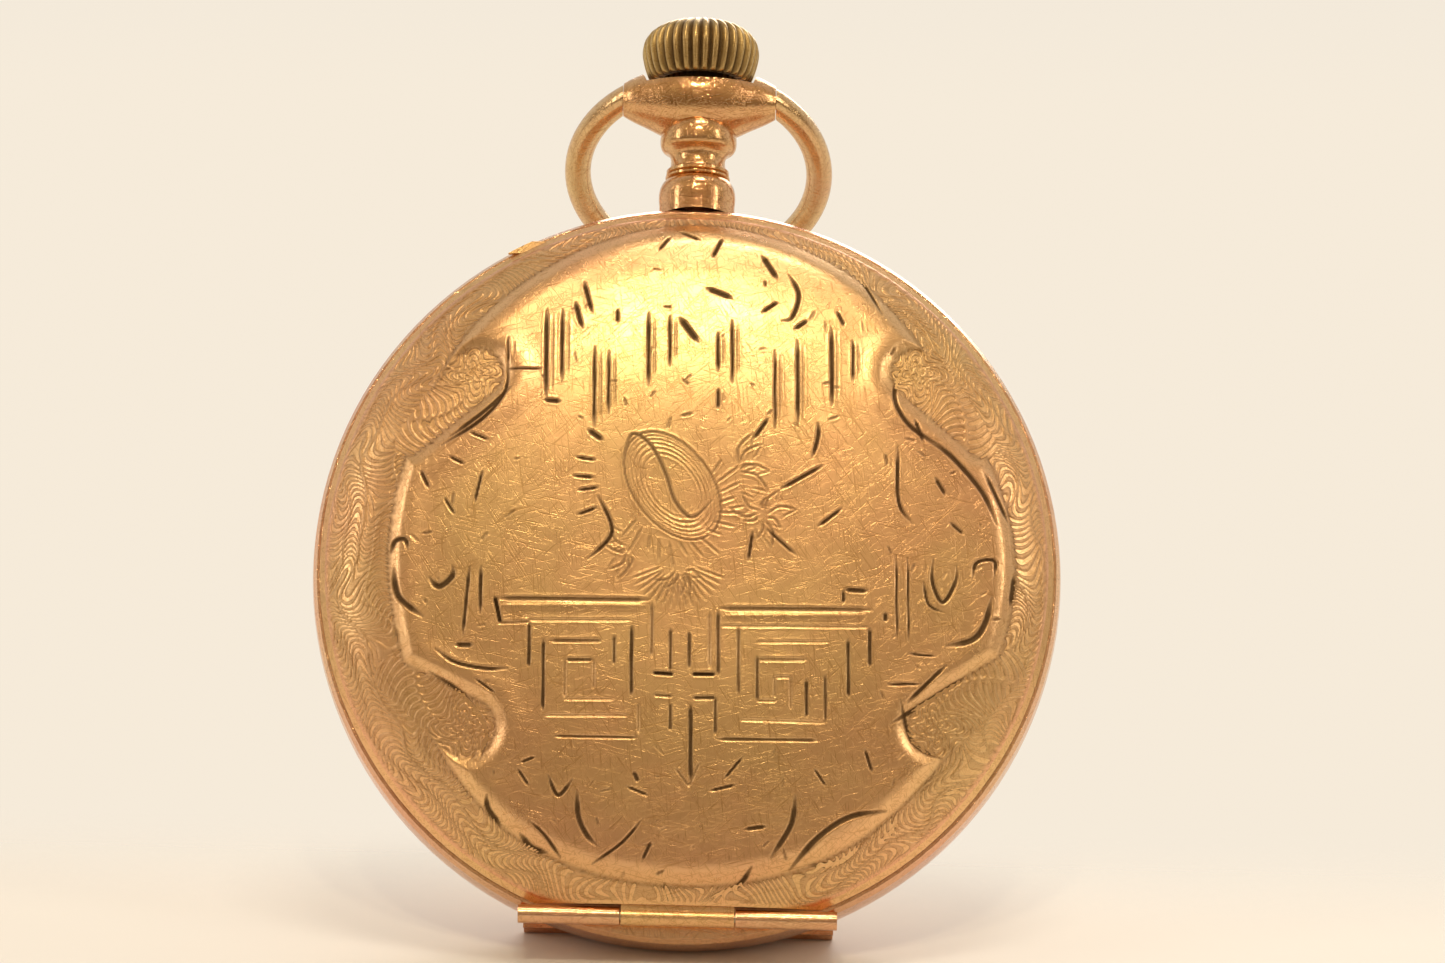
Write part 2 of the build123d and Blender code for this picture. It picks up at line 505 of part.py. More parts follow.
parts["mainspring"] = spiral(BARREL, 1.8, 7.4, 9, 0.2, 0.28, 0.92)
arbor = disc(1.55, 0.28, 0.92, BARREL) + disc(0.7, -1.6, 1.8, BARREL)
arbor += Pos(BARREL[0], BARREL[1], 2.0) * Box(0.96, 0.96, 0.9)
arbor -= disc(0.3, 1.8, 3, BARREL)
parts["barrel_arbor"] = arbor
ratchet = gear(M_WIND, RATCHET_Z, WHEEL_SEAT + 0.05, WHEEL_SEAT + 0.65, BARREL, ratchet_phase, 0.38)
ratchet -= Pos(BARREL[0], BARREL[1], 2.2) * Box(0.96, 0.96, 2)
parts["ratchet_wheel"] = ratchet
parts["ratchet_screw"] = screw(BARREL, 1.8, WHEEL_SEAT + 0.66, 1.5, 0.3, 0.35)
crown_wheel = gear(M_WIND, CROWN_WHEEL_Z, WHEEL_SEAT + 0.05, WHEEL_SEAT + 0.65, CROWN_WHEEL, crown_wheel_phase, 0.36)
parts["crown_wheel"] = crown_wheel - disc(1.15, 0, 5, CROWN_WHEEL)

winding_arbor = along_y(0.62, 15.7, 17.3) + along_y(1.1, 17.25, 20.6) + along_y(0.35, 12.6, 12.9)
winding_arbor += block((-0.45, 0.45), (12.85, 15.75), (-0.45, 0.45))
winding_arbor -= block((-0.46, 0.46), (17.4, 21), (-0.46, 0.46))
parts["winding_arbor"] = winding_arbor
pinion = Pos(0, 15.78, 0) * Rot(-90, 0, 0) * gear(M_WIND, WINDING_Z, 0, 0.95, (0, 0), -90.0, 0.36)
parts["winding_pinion"] = pinion - along_y(0.68, 15, 17.5)
clutch = along_y(1.25, 13.6, 14.3) + along_y(0.8, 14.2, 15.0) + along_y(1.25, 14.9, 15.5)
for n in range(12):
    clutch -= Rot(0, n * 30, 0) * along_y(0.16, 13.5, 14.35, 1.3)
parts["clutch"] = clutch - block((-0.52, 0.52), (13, 16), (-0.52, 0.52))
lever = bar(CLUTCH_LEVER, (-1.9, 14.6), 1.0, -0.25, 0.25) + block((-2.2, -1.15), (14.48, 14.72), (-0.25, 0.25))
lever += disc(1.0, -0.25, 0.25, CLUTCH_LEVER)
parts["clutch_lever"] = lever - disc(0.55, -1, 1, CLUTCH_LEVER)

nose = polar(BARREL, 6.3, degrees(atan2(CLICK[1] - BARREL[1], CLICK[0] - BARREL[0])) + 12)
click = bar(CLICK, nose, 0.9, WHEEL_SEAT + 0.05, WHEEL_SEAT + 0.7) + disc(1.3, WHEEL_SEAT + 0.05, WHEEL_SEAT + 0.7, CLICK)
parts["click"] = click - disc(0.55, 0, 5, CLICK) - disc(5.97, 0, 5, BARREL)
spring_arc = bar(CLICK_SPRING_FOOT, (CLICK_SPRING_FOOT[0] - 0.9, CLICK_SPRING_FOOT[1] + 3.0), 0.22, WHEEL_SEAT, WHEEL_SEAT + 0.5)
spring_foot = disc(0.8, WHEEL_SEAT, WHEEL_SEAT + 0.5, CLICK_SPRING_FOOT)
parts["click_spring"] = spring_arc + spring_foot - disc(0.35, 0, 5, CLICK_SPRING_FOOT)

# ---- going train: each wheel is riveted to its pinion ----
centre = gear(M_CENTRE, CENTRE_Z, -0.45, -0.2, CENTRE, 0.0)
centre = crossings(centre, CENTRE, 5.4, 1.6, 5, -0.45, -0.2, 0.75)
centre += gear(M_BARREL, CENTRE_PINION_Z, -0.2, 0.8, CENTRE, 0.0, 0.38)
centre += disc(0.5, 0.7, 1.9, CENTRE) + disc(0.28, 1.8, 2.8, CENTRE) + disc(0.28, -4.2, -0.4, CENTRE)
parts["centre_wheel"] = centre + disc(0.45, -1.2, -0.4, CENTRE)
third = gear(M_THIRD, THIRD_Z, 1.05, 1.25, THIRD, 0.0)
third = crossings(third, THIRD, 4.1, 1.2, 5, 1.05, 1.25, 0.6)
third += gear(M_CENTRE, THIRD_PINION_Z, -0.5, 0.05, THIRD, third_pinion_phase, 0.38)
parts["third_wheel"] = third + disc(0.3, 0, 1.9, THIRD) + disc(0.14, -1.3, 2.8, THIRD)
fourth = gear(M_FOURTH, FOURTH_Z, 0.4, 0.6, FOURTH, 0.0)
fourth = crossings(fourth, FOURTH, 4.1, 1.2, 5, 0.4, 0.6, 0.6)
fourth += gear(M_THIRD, FOURTH_PINION_Z, 1.0, 1.65, FOURTH, fourth_pinion_phase, 0.38)
parts["fourth_wheel"] = fourth + disc(0.3, -0.3, 1.9, FOURTH) + disc(0.14, 1.8, 2.8, FOURTH) + disc(0.22, -3.95, -0.2, FOURTH)


def escape_wheel():
    """Fifteen long pointed teeth on a thin rim."""
    points = []
    for n in range(ESCAPE_Z):
        a = ESCAPE_PHASE + n * 360 / ESCAPE_Z
        points += [polar(ESCAPE, 2.75, a - 4.5), polar(ESCAPE, ESCAPE_R, a - 0.6)]
        points += [polar(ESCAPE, ESCAPE_R, a + 0.6), polar(ESCAPE, 2.75, a + 2.0)]
    wheel = Pos(0, 0, 0.9) * extrude(make_face(Polyline(*points, close=True)), 0.2)
    wheel = crossings(wheel, ESCAPE, 2.3, 0.8, 4, 0.9, 1.1, 0.4)
    wheel += gear(M_FOURTH, ESCAPE_PINION_Z, 0.15, 0.8, ESCAPE, escape_pinion_phase, 0.38)
    return wheel + disc(0.25, 0.7, 1.9, ESCAPE) + disc(0.14, -1.3, 2.8, ESCAPE)


parts["escape_wheel"] = escape_wheel()

# ---- lever escapement and balance ----
stone_a = polar(ESCAPE, ESCAPE_R + 0.45, LINE_ANGLE + 30)
stone_b = polar(ESCAPE, ESCAPE_R + 0.45, LINE_ANGLE - 30)
fork_end = polar(PALLET, 3.4, LINE_ANGLE)
fork = bar(PALLET, stone_a, 0.95, 0.85, 1.15) + bar(PALLET, stone_b, 0.95, 0.85, 1.15)
fork += bar(PALLET, fork_end, 0.5, 0.85, 1.15) + disc(0.7, 0.85, 1.15, fork_end)
fork -= disc(ESCAPE_R + 0.25, 0, 5, ESCAPE)
fork -= bar(fork_end, polar(PALLET, 5, LINE_ANGLE), 0.5, 0, 2)
stones = []
for angle in (LINE_ANGLE + 30, LINE_ANGLE - 30):
    middle = polar(ESCAPE, ESCAPE_R + 0.32, angle)
    stones.append(Pos(middle[0], middle[1], 1.0) * Rot(0, 0, angle) * Box(0.5, 0.34, 0.34))
for stone in stones:
    fork -= stone
fork += disc(0.3, -0.4, 1.25, PALLET) + disc(0.14, -1.2, 1.6, PALLET)
parts["pallet_fork"] = fork
parts["pallet_stones"] = Compound(children=stones)

wheel = crossings(disc(7.3, 1.8, 2.4, BALANCE), BALANCE, 6.5, 0.9, 2, 1.8, 2.4, 0.9, BALANCE_ARM)
parts["balance_wheel"] = wheel - disc(0.4, 0, 5, BALANCE)
parts["balance_screws"] = Compound(children=[
    Pos(BALANCE[0], BALANCE[1], 2.1) * Rot(0, 0, BALANCE_ARM + 10 + n * 20) * along_x(0.27, 7.3, 7.85, 0, 0)
    for n in range(18) if n not in (4, 13)
])
staff = disc(0.4, 1.2, 2.7, BALANCE) + disc(0.14, -1.3, 3.7, BALANCE) + disc(0.22, -0.3, 1.3, BALANCE)
roller = disc(1.9, 1.45, 1.65, BALANCE)
jewel_at = polar(BALANCE, 1.5, LINE_ANGLE + 180)
parts["balance_staff"] = staff + roller - disc(0.2, 1, 2, jewel_at)
parts["roller_jewel"] = disc(0.2, 1.2, 1.65, jewel_at)
hair = spiral(BALANCE, 0.75, 3.35, 9, 0.07, 2.62, 2.82, HAIR_START)
parts["hairspring"] = hair + ring(0.8, 0.4, 2.55, 2.7, BALANCE)
parts["hairspring_stud"] = disc(0.3, 2.6, COCK_TOP, STUD) - disc(0.12, 2.5, 2.9, polar(STUD, 0.25, 180))
regulator = ring(1.5, 0.95, COCK_TOP + 0.02, COCK_TOP + 0.3, BALANCE)
regulator += bar(polar(BALANCE, 1.25, REGULATOR_ANGLE), polar(BALANCE, 5.2, REGULATOR_ANGLE), 0.35, COCK_TOP + 0.02, COCK_TOP + 0.3)
parts["regulator"] = regulator

# ---- motion work, dial and hands ----
cannon = gear(M_CANNON, CANNON_Z, -1.95, MOTION_ROOF - 0.1, CENTRE, 0.0, 0.38) + disc(0.55, -4.15, -1.4, CENTRE)
parts["cannon_pinion"] = cannon - disc(0.28, -5, 0, CENTRE)
minute = gear(M_CANNON, MINUTE_Z, -1.75, MOTION_ROOF - 0.1, MINUTE, minute_phase)
minute += gear(M_HOUR, MINUTE_PINION_Z, -2.5, -1.7, MINUTE, 0.0, 0.38)
parts["minute_wheel"] = minute - disc(0.4, -3, 0, MINUTE)
hour = gear(M_HOUR, HOUR_Z, -2.4, -2.05, CENTRE, hour_phase) + disc(0.95, -3.8, -2.1, CENTRE)
parts["hour_wheel"] = hour - disc(0.62, -5, 0, CENTRE)
parts["setting_wheel"] = gear(M_CANNON, SETTING_Z, -1.75, MOTION_ROOF - 0.1, SETTING, setting_phase) - disc(0.4, -3, 0, SETTING)

dial = disc(20.9, DIAL_BOTTOM, DIAL_TOP) - disc(1.15, -5, 0, CENTRE) - disc(0.45, -5, 0, FOURTH)
dial -= ring(3.9, 0.001, -3.5, DIAL_BOTTOM + 0.08, FOURTH)
for a in DIAL_FEET:
    dial += disc(0.4, DIAL_TOP - 0.1, -1.7, polar(CENTRE, 19.6, a))
parts["dial"] = dial


def hand(at, angle, length, tail, width, low, high, hub, bore):
    """A leaf-shaped hand pointing along an angle."""
    points = [(-tail, -0.18), (-tail, 0.18), (0, 0.22), (length * 0.55, width), (length, 0.05),
              (length, -0.05), (length * 0.55, -width), (0, -0.22)]
    leaf = extrude(make_face(Polyline(*points, close=True)), high - low)
    return Pos(at[0], at[1], low) * Rot(0, 0, angle) * leaf + disc(hub, low, high, at) - disc(bore, -9, 9, at)


parts["hour_hand"] = hand(CENTRE, HOUR_ANGLE, 10.5, 0.5, 0.75, -3.75, -3.6, 1.35, 0.95)
parts["minute_hand"] = hand(CENTRE, MINUTE_ANGLE, 16.0, 0.5, 0.55, -4.1, -3.95, 0.95, 0.55)
parts["second_hand"] = hand(FOURTH, 0, 3.2, 1.4, 0.12, -3.6, -3.5, 0.45, 0.22)

# ---- stand the watch up, crown to +Z and back cover to -Y, and write the parts ----
os.makedirs("parts", exist_ok=True)
for name, shape in parts.items():
    export_step(Rot(90, 0, 0) * shape, f"parts/{name}.step")
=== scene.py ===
import json
import random
from math import asin, atan2, cos, pi, radians, sin, sqrt

import bpy
import bmesh
import numpy as np
from mathutils import Matrix, Vector


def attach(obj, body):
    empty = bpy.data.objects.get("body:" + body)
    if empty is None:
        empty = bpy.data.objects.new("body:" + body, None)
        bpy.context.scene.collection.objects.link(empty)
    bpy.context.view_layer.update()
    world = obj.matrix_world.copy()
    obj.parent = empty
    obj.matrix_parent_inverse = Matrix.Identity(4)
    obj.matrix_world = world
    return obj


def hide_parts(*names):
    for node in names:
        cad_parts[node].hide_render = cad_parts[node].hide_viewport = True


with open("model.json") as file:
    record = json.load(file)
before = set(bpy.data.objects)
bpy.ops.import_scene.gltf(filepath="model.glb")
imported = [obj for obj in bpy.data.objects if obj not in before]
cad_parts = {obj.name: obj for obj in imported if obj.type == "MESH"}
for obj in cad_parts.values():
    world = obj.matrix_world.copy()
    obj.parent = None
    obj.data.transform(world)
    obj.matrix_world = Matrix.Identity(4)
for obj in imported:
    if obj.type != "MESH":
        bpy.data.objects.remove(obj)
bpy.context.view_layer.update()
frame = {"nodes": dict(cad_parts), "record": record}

MM = 0.001

# ---- the table the watch stands on, the light and the camera ----
# The watch stands on its rim and leans back, so in its own frame the table slopes. The table is
# plain and pale, and fades into a plain pale room. Soft lamps stand in front of it and overhead.
LEAN = radians(22)
CASE_BOTTOM = -25.95 * MM
TABLE_GAP = 0.4 * MM
TABLE_R = 0.62
FADE_FROM, FADE_TO = 0.20, 0.52        # distance from the watch at which the table thins and ends
BACK_FROM, BACK_TO = -0.004, 0.024     # and how soon it ends behind the watch, under the open lid
up = Vector((0, -sin(LEAN), cos(LEAN)))
forward = Vector((0, cos(LEAN), sin(LEAN)))
foot = Vector((0, 0, CASE_BOTTOM)) - up * TABLE_GAP


def socket(shader, name, value):
    """Sets one input of a shader or node."""
    shader.inputs[name].default_value = value


def new_material(name):
    """A fresh material, its node tree and its main shader."""
    made = bpy.data.materials.new(name)
    made.use_nodes = True
    tree = made.node_tree
    return made, tree, tree.nodes["Principled BSDF"]


def add(tree, kind, **values):
    """A node with its settings, each the node's own or one of its inputs."""
    node = tree.nodes.new(kind)
    for key, value in values.items():
        if hasattr(node, key):
            setattr(node, key, value)
        else:
            node.inputs[key.replace("_", " ")].default_value = value
    return node


def wire(tree, *pairs):
    """Joins each output to the input beside it."""
    for source, target in pairs:
        tree.links.new(source, target)


def mix_colour(tree, kind="MIX", first=None, second=None):
    """A node that mixes two colours; the share is input 0 and the colours are inputs 6 and 7."""
    node = tree.nodes.new("ShaderNodeMix")
    node.data_type = "RGBA"
    node.blend_type = kind
    for number, colour in ((6, first), (7, second)):
        if colour:
            node.inputs[number].default_value = colour + (1,)
    return node


def span(tree, low, high, *to, source=None):
    """A node that stretches the values from low to high over 0 to 1, or over the range given."""
    node = add(tree, "ShaderNodeMapRange")
    for name, value in zip(("From Min", "From Max", "To Min", "To Max"), (low, high) + to):
        socket(node, name, value)
    if source:
        tree.links.new(source, node.inputs["Value"])
    return node


def put(name, data):
    """A new object of this mesh, curve, lamp or camera, in the scene."""
    made = bpy.data.objects.new(name, data)
    bpy.context.collection.objects.link(made)
    return made


bpy.ops.object.select_all(action="DESELECT")
bpy.ops.mesh.primitive_circle_add(vertices=96, radius=TABLE_R, fill_type="NGON")
table = bpy.context.object
table.name = "table"
table.data.transform(Matrix.Translation(foot) @ up.to_track_quat("Z", "Y").to_matrix().to_4x4())
paper, tree, shader = new_material("pale_paper")
socket(shader, "Base Color", (0.80, 0.765, 0.72, 1))
socket(shader, "Roughness", 0.75)
place = add(tree, "ShaderNodeTexCoord")
away = add(tree, "ShaderNodeVectorMath", operation="LENGTH")
past = add(tree, "ShaderNodeVectorMath", operation="DOT_PRODUCT")
past.inputs[1].default_value = forward
far_off = span(tree, FADE_FROM, FADE_TO, source=away.outputs["Value"])
behind = span(tree, BACK_FROM, BACK_TO, source=past.outputs["Value"])
for fade in (far_off, behind):
    fade.interpolation_type = "SMOOTHSTEP"
gone = add(tree, "ShaderNodeMath", operation="MAXIMUM")
underside = add(tree, "ShaderNodeNewGeometry")
either = add(tree, "ShaderNodeMath", operation="MAXIMUM")
clear = add(tree, "ShaderNodeBsdfTransparent")
blend = add(tree, "ShaderNodeMixShader")
wire(tree,
     (place.outputs["Object"], away.inputs[0]),
     (place.outputs["Object"], past.inputs[0]),
     (far_off.outputs["Result"], gone.inputs[0]),
     (behind.outputs["Result"], gone.inputs[1]),
     (gone.outputs["Value"], either.inputs[0]),
     (underside.outputs["Backfacing"], either.inputs[1]),
     (either.outputs["Value"], blend.inputs["Fac"]),
     (shader.outputs["BSDF"], blend.inputs[1]),
     (clear.outputs["BSDF"], blend.inputs[2]),
     (blend.outputs["Shader"], tree.nodes["Material Output"].inputs["Surface"]))
table.data.materials.append(paper)

room = bpy.data.worlds.new("room")
bpy.context.scene.world = room
room.use_nodes = True
room_tree = room.node_tree
backdrop = room_tree.nodes["Background"]
where = add(room_tree, "ShaderNodeTexCoord")


def shade_of_room(direction, stops):
    """Colour of the room along a direction, from 0 straight away from it to 1 straight along it."""
    height = add(room_tree, "ShaderNodeVectorMath", operation="DOT_PRODUCT")
    height.inputs[1].default_value = direction
    spread = span(room_tree, -1.0, 1.0, source=height.outputs["Value"])
    ramp = add(room_tree, "ShaderNodeValToRGB")
    for end in (0, -1):
        stop = ramp.color_ramp.elements[end]
        stop.position, stop.color = stops[end][0], stops[end][1] + (1,)
    for position, colour in stops[1:-1]:
        ramp.color_ramp.elements.new(position).color = colour + (1,)
    wire(room_tree, (where.outputs["Generated"], height.inputs[0]),
         (spread.outputs["Result"], ramp.inputs["Fac"]))
    return ramp.outputs["Color"]


near_side = shade_of_room(up, (
    (0.0, (0.60, 0.48, 0.34)), (0.50, (0.27, 0.205, 0.135)), (0.62, (0.31, 0.235, 0.155)),
    (0.78, (0.50, 0.385, 0.255)), (0.87, (0.60, 0.47, 0.31)), (1.0, (0.34, 0.27, 0.19))))
far_side = shade_of_room(up, (
    (0.0, (0.93, 0.82, 0.68)), (0.47, (0.92, 0.83, 0.70)), (0.56, (0.80, 0.765, 0.71)),
    (0.75, (0.74, 0.71, 0.665)), (1.0, (0.62, 0.58, 0.53))))
far_share = shade_of_room(forward, ((0.42, (0.0, 0.0, 0.0)), (0.62, (1.0, 1.0, 1.0))))
whole_room = mix_colour(room_tree)
# seen directly the room is pale all round; only the gold mirrors its dimmer near side
seen = add(room_tree, "ShaderNodeLightPath")
pale_room = mix_colour(room_tree)
wire(room_tree,
     (far_share, whole_room.inputs[0]),
     (near_side, whole_room.inputs[6]),
     (far_side, whole_room.inputs[7]),
     (seen.outputs["Is Camera Ray"], pale_room.inputs[0]),
     (whole_room.outputs[2], pale_room.inputs[6]),
     (far_side, pale_room.inputs[7]),
     (pale_room.outputs[2], backdrop.inputs["Color"]))
socket(backdrop, "Strength", 1.0)


def lamp(name, spot, target, width, depth, watts, colour):
    """A soft rectangular lamp at a spot, facing its target."""
    light = bpy.data.lights.new(name, "AREA")
    light.shape = "RECTANGLE"
    light.size = width
    light.size_y = depth
    light.energy = watts
    light.color = colour
    holder = put(name, light)
    spot = Vector(spot)
    aim = (Vector(target) - spot).to_track_quat("-Z", "Y")
    holder.matrix_world = Matrix.Translation(spot) @ aim.to_matrix().to_4x4()


for name, across in (("ceiling_lamp", -0.06), ("second_lamp", 0.035)):
    lamp(name, (across, -0.50, 0.315), (0, 0, 0.01), 0.024, 0.018, 0.36, (1.0, 0.86, 0.58))
lamp("overhead_lamp", (0.05, -0.30, 0.52), (0, 0, 0.01), 0.20, 0.08, 0.75, (1.0, 0.90, 0.74))
lamp("left_window", (-0.52, -0.26, 0.12), (0, 0, 0), 0.12, 0.34, 0.42, (1.0, 0.94, 0.86))
lamp("right_fill", (0.50, -0.30, 0.16), (0, 0, 0), 0.10, 0.30, 0.42, (1.0, 0.92, 0.80))
lamp("back_lamp", (0.10, 0.42, 0.46), (0, 0, 0.02), 0.4, 0.3, 1.9, (1.0, 0.95, 0.9))

eye = bpy.data.cameras.new("eye")
eye.lens = 85
eye.sensor_width = 36
eye.clip_start = 0.01
camera = put("eye", eye)
BELOW, ROLL = radians(12), radians(1.4)       # how far the eye looks up at the watch, and tilts
EYE_RIGHT, EYE_TOP, EYE_AWAY = 2.47, 6.59, 238.0
look = Vector((0, cos(BELOW), sin(BELOW)))
level = Vector((1, 0, 0))
above = level.cross(look)
right = level * cos(ROLL) + above * sin(ROLL)
top = above * cos(ROLL) - level * sin(ROLL)
camera_at = right * EYE_RIGHT * MM + top * EYE_TOP * MM - look * EYE_AWAY * MM
turn = Matrix((right, top, -look)).transposed()
camera.matrix_world = Matrix.Translation(camera_at) @ turn.to_4x4()
bpy.context.scene.camera = camera
bpy.context.scene.view_settings.view_transform = "Standard"

# ---- gold of the case ----
# Gold-filled sheet over base metal, rubbed satin by a pocket: hairline scratches run every way,
# the colour drifts from yellow to rose where the top layer is thin, and dirt has darkened the
# deep cuts. On engraved pieces the darkened layer also holds painted shade, and the rose tint
# is partly a painted reflection.
FINEST = 0.01 * MM                     # depth of a hairline scratch
SCRATCH_SCALE = 12000.0
SCRATCH_SHAPE = (1.0, 0.3, 0.03)       # scratches are long one way and thin the others
SCRATCH_TURNS = ((0.6, 3.0), (-0.8, 11.0), (1.35, 23.0), (0.12, 37.0), (-1.3, 51.0))
ROSE_WEAR_AND_REFLECTION = (0.80, 0.42, 0.25)
DIRT_AND_SHADE_COLOUR = (0.075, 0.042, 0.018)
SCRATCHED = (0.80, 0.74, 0.66)


def noise_of(tree, place, scale, **values):
    """Fine or broad cloudiness fixed to the piece."""
    noise = add(tree, "ShaderNodeTexNoise", Scale=scale, **values)
    tree.links.new(place, noise.inputs["Vector"])
    return noise.outputs["Fac"]


def hairlines(tree, place):
    """Height of hairline scratches that run in several directions."""
    total = None
    for turn_y, seed in SCRATCH_TURNS:
        turned = add(tree, "ShaderNodeMapping", Rotation=(0, turn_y, 0))
        drawn_out = add(tree, "ShaderNodeMapping", Location=(seed, 0, seed),
                        Scale=[SCRATCH_SCALE * share for share in SCRATCH_SHAPE])
        wire(tree, (place, turned.inputs["Vector"]),
             (turned.outputs["Vector"], drawn_out.inputs["Vector"]))
        noise = noise_of(tree, drawn_out.outputs["Vector"], 1.0, Detail=1.0)
        line = span(tree, 0.61, 0.70, source=noise).outputs["Result"]
        if total is None:
            total = line
        else:
            join = add(tree, "ShaderNodeMath", operation="MAXIMUM")
            wire(tree, (total, join.inputs[0]), (line, join.inputs[1]))
            total = join.outputs["Value"]
    return total


def gold(name, yellow, rose, rough, wear=0.05, engraved=False):
    """Worn gold that drifts from one colour to another; engraved gold also shows its dirt and
    painted shade.
    """
    made, tree, shader = new_material(name)
    socket(shader, "Metallic", 1.0)
    place = add(tree, "ShaderNodeTexCoord").outputs["Object"]
    tint = mix_colour(tree, first=yellow, second=rose)
    drift = span(tree, 0.38, 0.64, source=noise_of(tree, place, 90.0, Detail=4.0, Roughness=0.6))
    tree.links.new(drift.outputs["Result"], tint.inputs[0])
    colour = tint.outputs[2]
    smudge = noise_of(tree, place, 420.0, Detail=5.0, Roughness=0.7)
    rub = span(tree, 0.3, 0.75, rough - wear * 0.5, rough + wear, source=smudge)
    roughness = rub.outputs["Result"]
    scratches = hairlines(tree, place)
    if engraved:
        rose_part = add(tree, "ShaderNodeAttribute", attribute_name="rose")
        blush = mix_colour(tree, second=ROSE_WEAR_AND_REFLECTION)
        dirt_and_shade = add(tree, "ShaderNodeAttribute", attribute_name="dirt_and_shade")
        dirt_and_shade_tint = mix_colour(tree, second=DIRT_AND_SHADE_COLOUR)
        dull = add(tree, "ShaderNodeMath", operation="MULTIPLY_ADD")
        dull.inputs[1].default_value = 0.45
        wire(tree, (rose_part.outputs["Fac"], blush.inputs[0]), (colour, blush.inputs[6]),
             (dirt_and_shade.outputs["Fac"], dirt_and_shade_tint.inputs[0]), (blush.outputs[2], dirt_and_shade_tint.inputs[6]),
             (dirt_and_shade.outputs["Fac"], dull.inputs[0]), (roughness, dull.inputs[2]))
        colour = dirt_and_shade_tint.outputs[2]
        roughness = dull.outputs["Value"]
    worn = mix_colour(tree, "MULTIPLY", second=SCRATCHED)
    bump = add(tree, "ShaderNodeBump", Strength=0.55, Distance=FINEST)
    bump.invert = True
    soft = add(tree, "ShaderNodeBump", Strength=0.12, Distance=FINEST)
    wire(tree, (scratches, worn.inputs[0]), (colour, worn.inputs[6]),
         (worn.outputs[2], shader.inputs["Base Color"]), (roughness, shader.inputs["Roughness"]),
         (scratches, bump.inputs["Height"]), (bump.outputs["Normal"], soft.inputs["Normal"]),
         (noise_of(tree, place, 5200.0, Detail=2.0), soft.inputs["Height"]),
         (soft.outputs["Normal"], shader.inputs["Normal"]))
    return made


def dress(node, material):
    """Gives a CAD node its finished material."""
    piece = frame["nodes"][node]
    for slot in piece.material_slots:
        slot.material = material
    if not piece.material_slots:
        piece.data.materials.append(material)


cover_gold = gold("cover_gold", (0.83, 0.54, 0.25), (0.85, 0.50, 0.25), 0.29, engraved=True)
band_gold = gold("band_gold", (0.80, 0.50, 0.28), (0.80, 0.44, 0.27), 0.20)
pendant_gold = gold("pendant_gold", (0.72, 0.45, 0.20), (0.70, 0.38, 0.19), 0.14)
bow_gold = gold("bow_gold", (0.74, 0.51, 0.25), (0.72, 0.44, 0.24), 0.17)
inner_gold = gold("inner_gold", (0.88, 0.62, 0.28), (0.87, 0.58, 0.28), 0.12)
for node, finish in (("case_band", band_gold), ("back_cover", cover_gold),
                     ("front_lid", cover_gold), ("pendant", pendant_gold), ("bow", bow_gold),
                     ("bezel", inner_gold), ("inner_cover", inner_gold)):
    dress(node, finish)

# ---- engraved skin of the back cover ----
# The thin gold sheet of the cover is pressed from behind into a raised panel with a scalloped
# edge, then cut by hand with a graver: rows of tiny crescents round the border, bright straight
# cuts and scrolls over the panel.
CELL = 0.086                           # millimetres between the points of the sheet
SHEET_HALF = 25.3
EDGE_R, HINGE_EDGE = 24.95, -23.25     # where the sheet ends, at the rim and beside the hinge
FLAT_R, TURN_R = 7.0, 20.0             # the cover is flat, then domed, then turns down
DOME_R, SHOULDER_R, APEX = 70.0, 10.77, 7.4
SINK = 0.05                            # how far the sheet's own edge dips into the cover


def dome_height(r):
    """Height of the plain cover over the middle plane of the case."""
    lean = asin((TURN_R - FLAT_R) / DOME_R)
    reach = DOME_R - SHOULDER_R
    shoulder_r = FLAT_R + reach * sin(lean)
    shoulder_h = APEX - DOME_R + reach * cos(lean)
    h = np.full_like(r, APEX)
    big = (r > FLAT_R) & (r <= TURN_R)
    h[big] = APEX - DOME_R + np.sqrt(DOME_R**2 - (r[big] - FLAT_R) ** 2)
    small = r > TURN_R
    h[small] = shoulder_h + np.sqrt(np.maximum(SHOULDER_R**2 - (r[small] - shoulder_r) ** 2, 0.0))
    return h


half_count = int(SHEET_HALF / CELL)
axis = np.arange(-half_count, half_count + 1) * CELL
GX, GZ = np.meshgrid(axis, axis)
GR = np.hypot(GX, GZ)
GA = np.arctan2(GZ, GX)


def smooth(low, high, value):
    """A soft step from 0 at low to 1 at high."""
    t = np.clip((value - low) / (high - low), 0, 1)
    return t * t * (3 - 2 * t)


def lay(x, z):
    """A point of the engraver's flat layout, carried along the line of sight on to the cover."""
    r = min(sqrt(x * x + z * z), 24.0)
    h = APEX
    if r >= TURN_R:
        h = 6.2 - (r - TURN_R) ** 2 * 0.06 - (r - TURN_R) * 0.2
    elif r >= FLAT_R:
        h = APEX - (r - FLAT_R) ** 2 / 145
    grow = 1 + h / EYE_AWAY
    x, z = x / grow, z / grow
    z = (z - sin(BELOW) * h) / cos(BELOW)
    return (x * cos(ROLL) - z * sin(ROLL), z * cos(ROLL) + x * sin(ROLL))


# edge of the raised panel, as distance from the middle at every 15 degrees, then rounded off
PANEL = (22.3, 21.9, 21.0, 21.9, 23.0, 23.6, 24.0, 23.4, 22.6, 21.9, 20.6, 20.2,
         20.1, 20.0, 20.4, 21.2, 21.9, 22.0, 21.9, 22.1, 22.2, 21.9, 21.8, 22.0)
steps = np.linspace(-pi, pi, 721)
spokes = np.arange(-12, 13)
edge_line = np.interp(steps, np.radians(spokes * 15.0), np.array(PANEL)[spokes % 24])
WINDOW = 41
kernel = np.hanning(WINDOW) / np.hanning(WINDOW).sum()
round_again = np.concatenate([edge_line[-WINDOW:-1], edge_line, edge_line[1:WINDOW]])
edge_line = np.convolve(round_again, kernel, "same")[WINDOW - 1:1 - WINDOW]
panel_r = np.interp(GA, steps, edge_line)
inside = panel_r - GR


